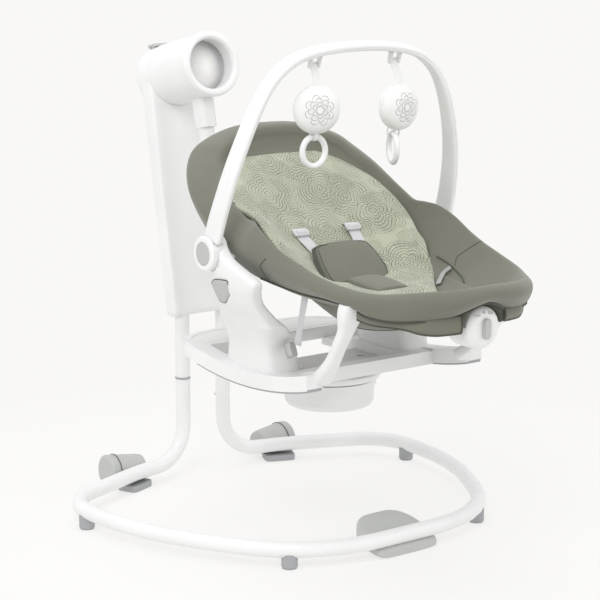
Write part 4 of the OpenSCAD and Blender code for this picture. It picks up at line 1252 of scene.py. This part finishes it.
def makeCrotchTrims(pad):
    s = crotchSettings
    top, bottom = crotchSheets()
    rows, columns = len(top), len(top[0])
    border = borderOf(rows, columns)

    def middle(i, j):
        return (top[i][j] + bottom[i][j]) / 2

    centre = middle(rows // 2, columns // 2)
    radius, outside = s["binding"]
    edge = [middle(i, j) + (middle(i, j) - centre).normalized() * outside for i, j in border]
    inset = [(min(max(i, 1), rows - 2), min(max(j, 1), columns - 2)) for i, j in border[::2]]
    stitch = [at(*(top[i][j] + Vector((0, -1, 1)))) for i, j in dict.fromkeys(inset)]
    thread, lift = s["stitch"]
    cord("crotchPadStitch", drape(stitch, pad, lift), thread, closed=True)
    cord("crotchPadBinding", [at(*p) for p in edge], radius, closed=True, count=10)


# toy bar
barSettings = {
    "lean": math.radians(12.6),
    "hubHeight": 520,
    # half of the middle line in the bar's own plane: distance from the middle, height over the hubs
    "line": [(256, 23), (254, 62), (248, 108), (240, 150), (229, 190), (216, 228), (201, 263), (183, 293),
             (158, 317), (127, 334), (84, 344), (40, 348), (0, 349)],
    "top": 349,
    "wide": 44,
    "narrow": 28,
    "taper": 1.1,
    "thick": 15,
    "bow": 13,
    "bowShape": 0.8,
    "seam": 0.35,
    "seamSink": 0.15,
}


def barPoint(x, height, ahead=0.0):
    s = barSettings
    c, d = math.cos(s["lean"]), math.sin(s["lean"])
    return Vector((x, -height * d - ahead * c, s["hubHeight"] + height * c - ahead * d))


def bow(height):  # how far the bar bows forward between the hubs and its top
    s = barSettings
    share = min(max(height, 0.0), s["top"]) / s["top"]
    return s["bow"] * math.sin(math.pi * share) ** s["bowShape"]


def barWidth(height):
    s = barSettings
    return s["narrow"] + (s["wide"] - s["narrow"]) * max(0.0, 1 - height / s["top"]) ** s["taper"]


def makeToyBar():
    s = barSettings
    dense = smoothRow(s["line"] + [(-x, h) for x, h in reversed(s["line"][:-1])], 5)
    forward = Vector((0, -math.cos(s["lean"]), -math.sin(s["lean"])))
    middle = [barPoint(x, h, bow(h)) for x, h in dense]
    rings = []
    for point, p, along in zip(dense, middle, directions(middle)):
        side = along.cross(forward)
        shape = outline(barWidth(point[1]) / 2, s["thick"] / 2, 3.2, 32)
        rings.append([at(*(p + forward * a + side * b)) for a, b in shape])
    piece(loft("toyBar", rings, "whitePlastic"), "toy_bar", "white_plastic", "toy_bar")
    for sign in (-1, 1):  # parting line along both edges of the moulding, drawn in a darker white that is painted shade along the line
        path = []
        for x, h in dense[6:-6]:
            path.append(at(*barPoint(x, h, bow(h) + sign * (barWidth(h) / 2 - s["seamSink"]))))
        piece(tube("barSeam", path, s["seam"], "seamShadeWhite", count=6), "toy_bar", "white_plastic")


# stuffed toys and their rings
toySettings = {
    "pivot": (87, -67.5, 832),  # where the right strap turns under the bar
    "forward": 7,
    "radius": 40.5,
    "half": 22,
    "segments": 72,
    "steps": 18,
    "dome": (2.2, 0.78),
    "pucker": (0.012, 18, 9),  # depth, folds, how soon they fade from the seam
    "seam": (0.4, 1.0),
    "tape": (15, 2.2),
    "lugReach": 9.3,
    "lugHalf": 1.5,
    # height, half depth and place of the lug's outlines
    "lug": ((-5, 3.6, 0), (-3, 5, 0), (2, 5.5, -1), (10, 6.5, -3), (17, 8, -5)),
    "pin": (10.5, 2.0),
    "ringDrop": 5.5,
    "loopRise": 1.6,
    "loopThickness": 0.8,
    "ringSize": 28.5,
    "ringTube": 5.2,
    "ringHang": 2.5,
    "ringStretch": 1.08,
    "fill": 0.8,
    "left": {"side": -1, "drop": 74, "aside": 0, "turn": -20,
             "ringTurn": -3, "loopReach": 7.8, "loopHalf": 4.2},
    "right": {"side": 1, "drop": 80, "aside": 6, "turn": 5,
              "ringTurn": 68, "loopReach": 11, "loopHalf": 2.6},
}


def makeCushion(key, centre, turn):  # two domes of cloth that meet in a puckered seam
    s = toySettings
    size, count, steps = s["radius"], s["segments"], s["steps"]
    roundness, flatness = s["dome"]
    depth, folds, fade = s["pucker"]
    bm = bmesh.new()
    uv = bm.loops.layers.uv.new("cloth")
    verts, spots = [], []
    for k in range(2 * steps + 1):
        u = -1 + k / steps  # -1 back pole, 0 seam, 1 front pole
        r = size * math.sqrt(max(0.0, 1 - abs(u) ** roundness))
        out = s["half"] * math.copysign(abs(u) ** flatness, u)
        places, flat = [], []
        for a in onCircle(count):
            pucker = 1 + depth * math.sin(a * folds + 2 * u) * math.exp(-abs(u) * fade)
            x, y = turn(r * pucker * math.cos(a), -out)
            places.append(at(*(centre + Vector((x, y, r * pucker * math.sin(a))))))
            flat.append((r * math.cos(a) * mm, r * math.sin(a) * mm))
        pole = k in (0, 2 * steps)
        verts.append([bm.verts.new(places[0])] * count if pole else [bm.verts.new(p) for p in places])
        spots.append(flat)
    for k in range(2 * steps):
        for i in range(count):
            j = (i + 1) % count
            corners = {}
            for row, column in ((k, i), (k, j), (k + 1, j), (k + 1, i)):
                corners.setdefault(verts[row][column], spots[row][column])
            face = addFace(bm, uv, list(corners), list(corners.values()))
            face.material_index = 0 if k >= steps else 1
    cushion = finishMesh(bm, "toyCushion_" + key, mats["toyCloth"])
    cushion.data.materials.append(mats["toyPlain"])
    piece(cushion, "toy_" + key, "toy_fabric", "toy_" + key, fill=s["fill"])
    proud, thread = s["seam"]
    seam = []
    for a in onCircle(48):
        x, y = turn((size + proud) * math.cos(a), 0)
        seam.append(at(*(centre + Vector((x, y, (size + proud) * math.sin(a))))))
    piece(tube("toySeam", seam, thread, "toyPlain", count=8, closed=True), "toy_" + key, "toy_fabric")


def makeToyStrap(key, pivot, centre):
    s = toySettings
    size = s["radius"]
    run = [pivot + Vector((0, 1, 5)), pivot + Vector((0, -2, -8)),
           centre + Vector((0, 1, size + 14)), centre + Vector((0, 0, size - 3))]
    tape = strap("toyStrap", smoothRow(run, 5), *s["tape"], (1, 0, 0), "toyPlain")
    piece(tape, "toy_" + key, "toy_fabric")
    for sign in (-1, 1):  # two lugs under the bar hold the pin that the strap turns on
        low = pivot + Vector((sign * s["lugReach"], 0, 0))
        rings = []
        for z, w, push in s["lug"]:
            rings.append([at(*(low + Vector((a, push + b, z)))) for a, b in outline(s["lugHalf"], w, 4, 20)])
        piece(loft("toyLug", rings, "whitePlastic"), "toy_bar", "white_plastic")
    reach, radius = s["pin"]
    pin = [at(*(pivot + Vector((x, 0, 0)))) for x in (-reach, reach)]
    piece(tube("toyPin", pin, radius, "whitePlastic", (0, 1, 0), count=16), "toy_bar", "white_plastic")


def makeTeethingRing(key, pivot, top):
    s = toySettings
    own = s[key]
    turn = turned(own["ringTurn"])
    loop = []
    for a in onCircle(24):
        x, y = turn(0, own["loopReach"] * math.cos(a))
        loop.append(at(pivot.x + x, pivot.y + y, top + 2 + (own["loopReach"] + s["loopRise"]) * math.sin(a)))
    rings = sweep(frames(loop, (*turn(1, 0), 0), True), outline(own["loopHalf"], s["loopThickness"], 4, 16))
    piece(loft("ringLoop", rings, "toyPlain", closed=True), "toy_" + key, "toy_fabric")
    reach = s["ringSize"] - s["ringTube"]
    centre = top - reach - s["ringHang"]
    points = []
    for a in onCircle(64):
        x, y = turn(reach * math.cos(a), 0)
        points.append(at(pivot.x + x, pivot.y + y, centre + reach * s["ringStretch"] * math.sin(a)))
    ring = tube("teethingRing_" + key, points, s["ringTube"], "ringPlastic", (0, 1, 0), count=24, closed=True)
    piece(ring, "ring_" + key, "ring_plastic", "ring_" + key)


def makeToys():
    s = toySettings
    x, y, z = s["pivot"]
    for key in ("left", "right"):
        own = s[key]
        pivot = Vector((own["side"] * x, y, z))
        centre = pivot + Vector((own["aside"], -s["forward"], -own["drop"]))
        makeCushion(key, centre, turned(own["turn"]))
        makeToyStrap(key, pivot, centre)
        makeTeethingRing(key, pivot, centre.z - s["radius"] - s["ringDrop"])


# towers of the rocker and their buttons
towerSettings = {
    # height, middle x, half width, front y, back y
    "rows": [
        (301, 145, 39, -73, 71), (306, 145, 38.5, -72, 70), (329, 147, 38, -67, 66),
        (355, 153, 36, -69, 58), (380, 169, 31, -84, 54), (397, 184, 26, -97, 47),
        (411, 197, 21, -95, 38), (436, 219, 17, -96, 17), (451, 229, 15.5, -101, 8),
        (467, 238, 14.5, -112, 3), (484, 243, 13.5, -120, 1), (498, 245, 13.5, -88, 4),
        (513, 246, 13, -48, 12), (529, 246, 12, -30, 18), (542, 245, 10.5, -23, 20), (550, 245, 8, -15, 14),
    ],
    "squareness": 4.5,
    "hub": (0, 520, 30.8, (246, 306)),  # y, z and radius of the hub's seat, and where it is cut from and to
}


def makeTower(sign):
    s = towerSettings
    rings = []
    for z, x, half, front, back in smoothRow(s["rows"], 4):
        shape = outline(half, (back - front) / 2, s["squareness"], 64)
        rings.append([at(sign * (x + a), (front + back) / 2 + b, z) for a, b in shape])
    tower = loft("towerBody", rings, "whitePlastic")
    y, z, r, ends = s["hub"]
    seat = [[at(sign * x, y + a, z + b) for a, b in outline(r, r, 2, 64)] for x in ends]
    cutBy(tower, loft("hubCutter", seat, "whitePlastic"))
    piece(tower, "rocker", "white_plastic", "tower_" + sideNames[sign])


buttonSettings = {
    "corners": [(256.2, -14.0, 477.1), (256.6, -53, 480.9), (246, -46.2, 456), (234.5, -16, 434.5),
                (234.2, 2.5, 434.5), (252.3, -0.1, 468.0)],
    "cuts": (0.1, 0.25, 0.25),  # share cut off at each corner, round after round
    "out": (0.9, 0, -0.436),
    "levels": ((-3, 1.0), (1.2, 1.0), (2.0, 0.97), (2.6, 0.9), (3.0, 0.6)),  # rise and size
    "gap": (1.03, 0.5, 0.7),  # size, rise and radius of the dark line around it, which is painted shade in the gap between button and tower
}


def cutCorners(points, shares):
    for share in shares:
        cut = []
        for p, q in zip(points, points[1:] + points[:1]):
            cut += [p.lerp(q, share), p.lerp(q, 1 - share)]
        points = cut
    return points


def makeTowerButton(sign):
    s = buttonSettings
    key = sideNames[sign]
    out = Vector((sign * s["out"][0], *s["out"][1:]))
    ring = cutCorners([Vector((sign * x, y, z)) for x, y, z in s["corners"]], s["cuts"])
    centre = sum(ring, Vector()) / len(ring)

    def level(rise, size):
        return [at(*(centre + (p - centre) * size + out * rise)) for p in ring]

    button = loft("towerButton_" + key, [level(*pair) for pair in s["levels"]], "greyPlastic")
    piece(button, "tower_button_" + key, "grey_plastic", "tower_button_" + key)
    # a dark ring of painted shade where the button meets the tower
    size, rise, radius = s["gap"]
    gap = tube("buttonGapShade", level(rise, size), radius, "nearBlackAndGapShade", count=8, closed=True)
    piece(gap, "rocker", "white_plastic")


# front legs
legSettings = {
    # x, y, z, half width, half depth
    "rows": [
        (158, -180, 322, 19, 12), (160, -192, 331, 17.5, 11.5), (164, -208, 345, 15.5, 10),
        (168, -228, 366, 12.8, 9), (173, -251, 396, 12.3, 9), (174, -266, 419, 13.5, 9.5),
        (174, -272, 434, 17.5, 11), (174, -276, 446, 20.5, 12.5), (174, -278, 458, 20.5, 13),
        (174, -279, 468, 18, 12),
    ],
    "squareness": 3.5,
}


def makeFrontLeg(sign):
    rows = smoothRow(legSettings["rows"], 5)
    last = len(rows) - 1
    rings = []
    for i, (x, y, z, half, deep) in enumerate(rows):
        a, b = rows[max(i - 1, 0)], rows[min(i + 1, last)]
        t = Vector((0, b[1] - a[1], b[2] - a[2])).normalized()
        up = Vector((0, t.z, -t.y))
        middle = Vector((sign * x, y, z))
        shape = outline(half, deep, legSettings["squareness"], 40)
        rings.append([at(*(middle + Vector((p, 0, 0)) + up * q)) for p, q in shape])
    leg = loft("frontLeg", rings, "whitePlastic")
    piece(leg, "rocker", "white_plastic", "front_leg_" + sideNames[sign])


# feet and pad of the floor frame
footSettings = {
    "spot": (182, 418),
    "turn": 4,
    # place along the foot, radius
    "cone": [(-46, 15), (-44.5, 21), (-40, 25), (-15, 28.5), (10, 31.5), (28, 33.5), (32, 32), (34, 28),
             (34.6, 19)],
    "height": 30,
    "low": 11,
    "groove": 14,
    "grooveDepth": 1.4,
    "grooveWidth": 1.3,
    "grooveShadeLine": (33.1, 0.7),  # radius around the foot, radius of the line, a dark line of painted shade in the groove
    "sole": (171, 386, -22.8),  # x, y and turn of the sole
    "soleSize": (62, 44),
    "soleLevels": ((0, 0.97), (1.5, 1.0), (10.5, 1.0), (12, 0.97)),
}


def makeRearFoot(sign):
    s = footSettings
    turn = turned(s["turn"])

    def spot(along, across, z):
        x, y = turn(along, across)
        return at(sign * (s["spot"][0] + x), s["spot"][1] + y, z)

    rings = []
    for along, r in smoothRow(s["cone"], 4):
        r -= s["grooveDepth"] * math.exp(-((along - s["groove"]) / s["grooveWidth"]) ** 2)
        ring = [(r * math.cos(t), s["height"] + r * math.sin(t)) for t in onCircle(48)]
        rings.append([spot(along, across, max(s["low"], z)) for across, z in ring])
    foot = loft("rearFoot", rings, "greyPlastic")
    piece(foot, "base", "grey_plastic", *(["rear_feet"] if sign < 0 else []))
    # a dark line of painted shade in the foot's groove
    r, thick = s["grooveShadeLine"]
    arc = [math.pi * i / 24 for i in range(25)]
    line = [spot(s["groove"], r * math.cos(t), s["height"] + r * math.sin(t)) for t in arc]
    piece(tube("footGrooveShade", line, thick, "nearBlackAndGapShade", count=8), "base", "grey_plastic")
    x0, y0, angle = s["sole"]
    width, depth = s["soleSize"]
    turn = turned(angle)
    rings = []
    for z, size in s["soleLevels"]:
        shape = [turn(x * size, y * size) for x, y in outline(width / 2, depth / 2, 6, 48)]
        rings.append([at(sign * (x0 + x), y0 + y, z) for x, y in shape])
    piece(loft("rearSole", rings, "greyRubber"), "base", "grey_rubber")


padSettings = {
    # distance behind the tube's middle, half width, top
    "rows": [(-12, 60, 14), (-6, 65, 18), (6, 67, 26), (24, 66, 36), (44, 62, 45), (62, 56, 50), (76, 48, 51),
             (85, 38, 48), (90, 26, 38), (92, 16, 22)],
    "front": -216,
    "low": 0.4,
    "across": 0.5,  # roundness of the section across and upwards
    "upward": 0.55,
}


def makeFrontPad():
    s = padSettings
    rings = []
    for back, half, top in smoothRow(s["rows"], 4):
        ring = []
        for a in onCircle(48):
            c, d = math.cos(a), math.sin(a)
            x = half * math.copysign(abs(c) ** s["across"], c)
            rise = 0.5 + 0.5 * math.copysign(abs(d) ** s["upward"], d)
            ring.append(at(x, s["front"] + back, s["low"] + (top - s["low"]) * rise))
        rings.append(ring)
    piece(loft("frontPad", rings, "greyPlastic"), "base", "grey_plastic", "front_pad")


# sling under the seat, anchor straps and their clips
hammockSettings = {
    # y, half width, bottom, top where it meets the cover
    "rows": [(-84, 104, 440, 452), (-100, 106, 429, 452), (-122, 108, 413, 452), (-148, 108, 402, 452),
             (-190, 106, 398, 452), (-235, 100, 402, 452), (-280, 90, 411, 452), (-320, 76, 424, 454),
             (-346, 62, 438, 456)],
    "columns": 32,
    "flare": (0.25, 8),  # extra width at the edges, and how late it comes
    "rise": 9,
    "faces": (2.5, 1.5, 1.02),  # how far the two faces lie up and down, and how much wider the lower one is
    "seamColumns": (4, 28),
    "seam": 1.0,
    "fill": 0.3,
}


def makeHammock():
    s = hammockSettings
    extra, late = s["flare"]
    above, below, wider = s["faces"]
    top, bottom = [], []
    for y, half, low, high in smoothRow(s["rows"], 4):
        up, down = [], []
        for i in range(s["columns"] + 1):
            t = -1 + 2 * i / s["columns"]
            x = half * t * (1 + extra * abs(t) ** late)
            z = low + (high - low) * abs(t) ** s["rise"]
            up.append(Vector((x, y, z + above)))
            down.append(Vector((x * wider, y, z - below)))
        top.append(up)
        bottom.append(down)
    cloth = padMesh("seatHammock", top, bottom, "oliveLining")
    subdivide(cloth)
    piece(cloth, "rocker", "olive_fabric", fill=s["fill"])
    for column in s["seamColumns"]:
        cord("hammockSeam", [at(*row[column]) for row in bottom], s["seam"])


anchorSettings = {
    "line": [(168, -150, 462), (167, -147, 450), (162, -134, 425), (160, -127, 407), (156, -118, 388),
             (150, -106, 366)],
    "width": 13,
    "thickness": 1.4,
    "faces": (0.8, -0.6, 0),
    "twist": (0.35, 0.5),  # turn at the ends, and more of it in the middle
    "clipAt": (150, -92, 356),
    "clipOut": (-0.35, -0.85, 0.35),
    "clipSize": (19, 26),
    "clipLevels": ((-10, 1.0), (0, 1.0), (1.6, 0.96), (2.2, 0.86), (1.4, 0.6)),  # rise and size
}


def makeAnchors():
    s = anchorSettings
    shape = outline(s["width"] / 2, s["thickness"] / 2, 4, 16)
    w, h = s["clipSize"]
    face = outline(w / 2, h / 2, 5, 32)
    for sign in (-1, 1):
        run = frames(sidePath(s["line"], sign, 5), s["faces"])
        twisted = []
        for i, (p, ex, ey) in enumerate(run):
            twist = s["twist"][0] + s["twist"][1] * math.sin(math.pi * i / (len(run) - 1))
            a, b = math.cos(twist), math.sin(twist)
            twisted.append((p, ex * a + ey * b, ey * a - ex * b))
        piece(loft("anchorStrap", sweep(twisted, shape), "webbing"), "rocker", "webbing")
        out = Vector((sign * s["clipOut"][0], *s["clipOut"][1:])).normalized()
        across = (Vector((1, 0, 0)) - out * out.x).normalized()
        up = across.cross(out)
        if up.z < 0:
            up = -up
        x, y, z = s["clipAt"]
        rings = plateRings(face, Vector((sign * x, y, z)), (across, up, out), s["clipLevels"])
        clip = loft("anchorClip", rings, "greyPlastic")
        piece(clip, "rocker", "grey_plastic", *(["strap_clips"] if sign < 0 else []))


# marks on the vibration unit, and the turntable's skirt
unitSettings = {
    # x, height over the unit's middle, width, height
    "marks": [(-16, 23, 9, 2.4), (-3, 27, 4, 4), (8, 25, 4.5, 4.5), (13.5, 24, 4.5, 4.5)],
    "height": 427,
    "front": (-408.6, -409.4),
}


def makeUnitMarks():
    s = unitSettings
    for x, up, w, h in s["marks"]:
        shape = outline(w / 2, h / 2, 4, 20)
        rings = [[at(x + a, y, s["height"] + up + b) for a, b in shape] for y in s["front"]]
        piece(loft("unitMark", rings, "greyPlastic"), "rocker", "grey_plastic")


# radius, height
turnSkirt = [(40, 271), (84, 271), (90, 272.5), (92, 276), (92, 281), (90, 283.6), (40, 283.6)]


def makeTurnSkirt():
    rings = [[at(r * math.cos(a), r * math.sin(a), z) for r, z in turnSkirt] for a in onCircle(72)]
    piece(loft("turntableSkirt", rings, "whitePlastic", closed=True), "turntable", "white_plastic")


print("finishes")
buildGroups()
buildMaterials()
finishNodes()
print("seat cover")
makeRimTrims(makeRim())
makeUnitSleeve()
makeSkirt()
makeSeatTubes()
makeLining()
makeLiner()
makeHarness()
crotchPad = makeCrotchPad()
makeCrotchTab()
makeCrotchTrims(crotchPad)
print("rocker and feet")
for sign in (-1, 1):
    makeTower(sign)
    makeTowerButton(sign)
    makeFrontLeg(sign)
    makeRearFoot(sign)
makeFrontPad()
makeHammock()
makeAnchors()
makeUnitMarks()
makeTurnSkirt()
print("toys")
makeToyBar()
makeToys()
print("stage")
makeCamera()
makeStage()
bpy.context.view_layer.update()
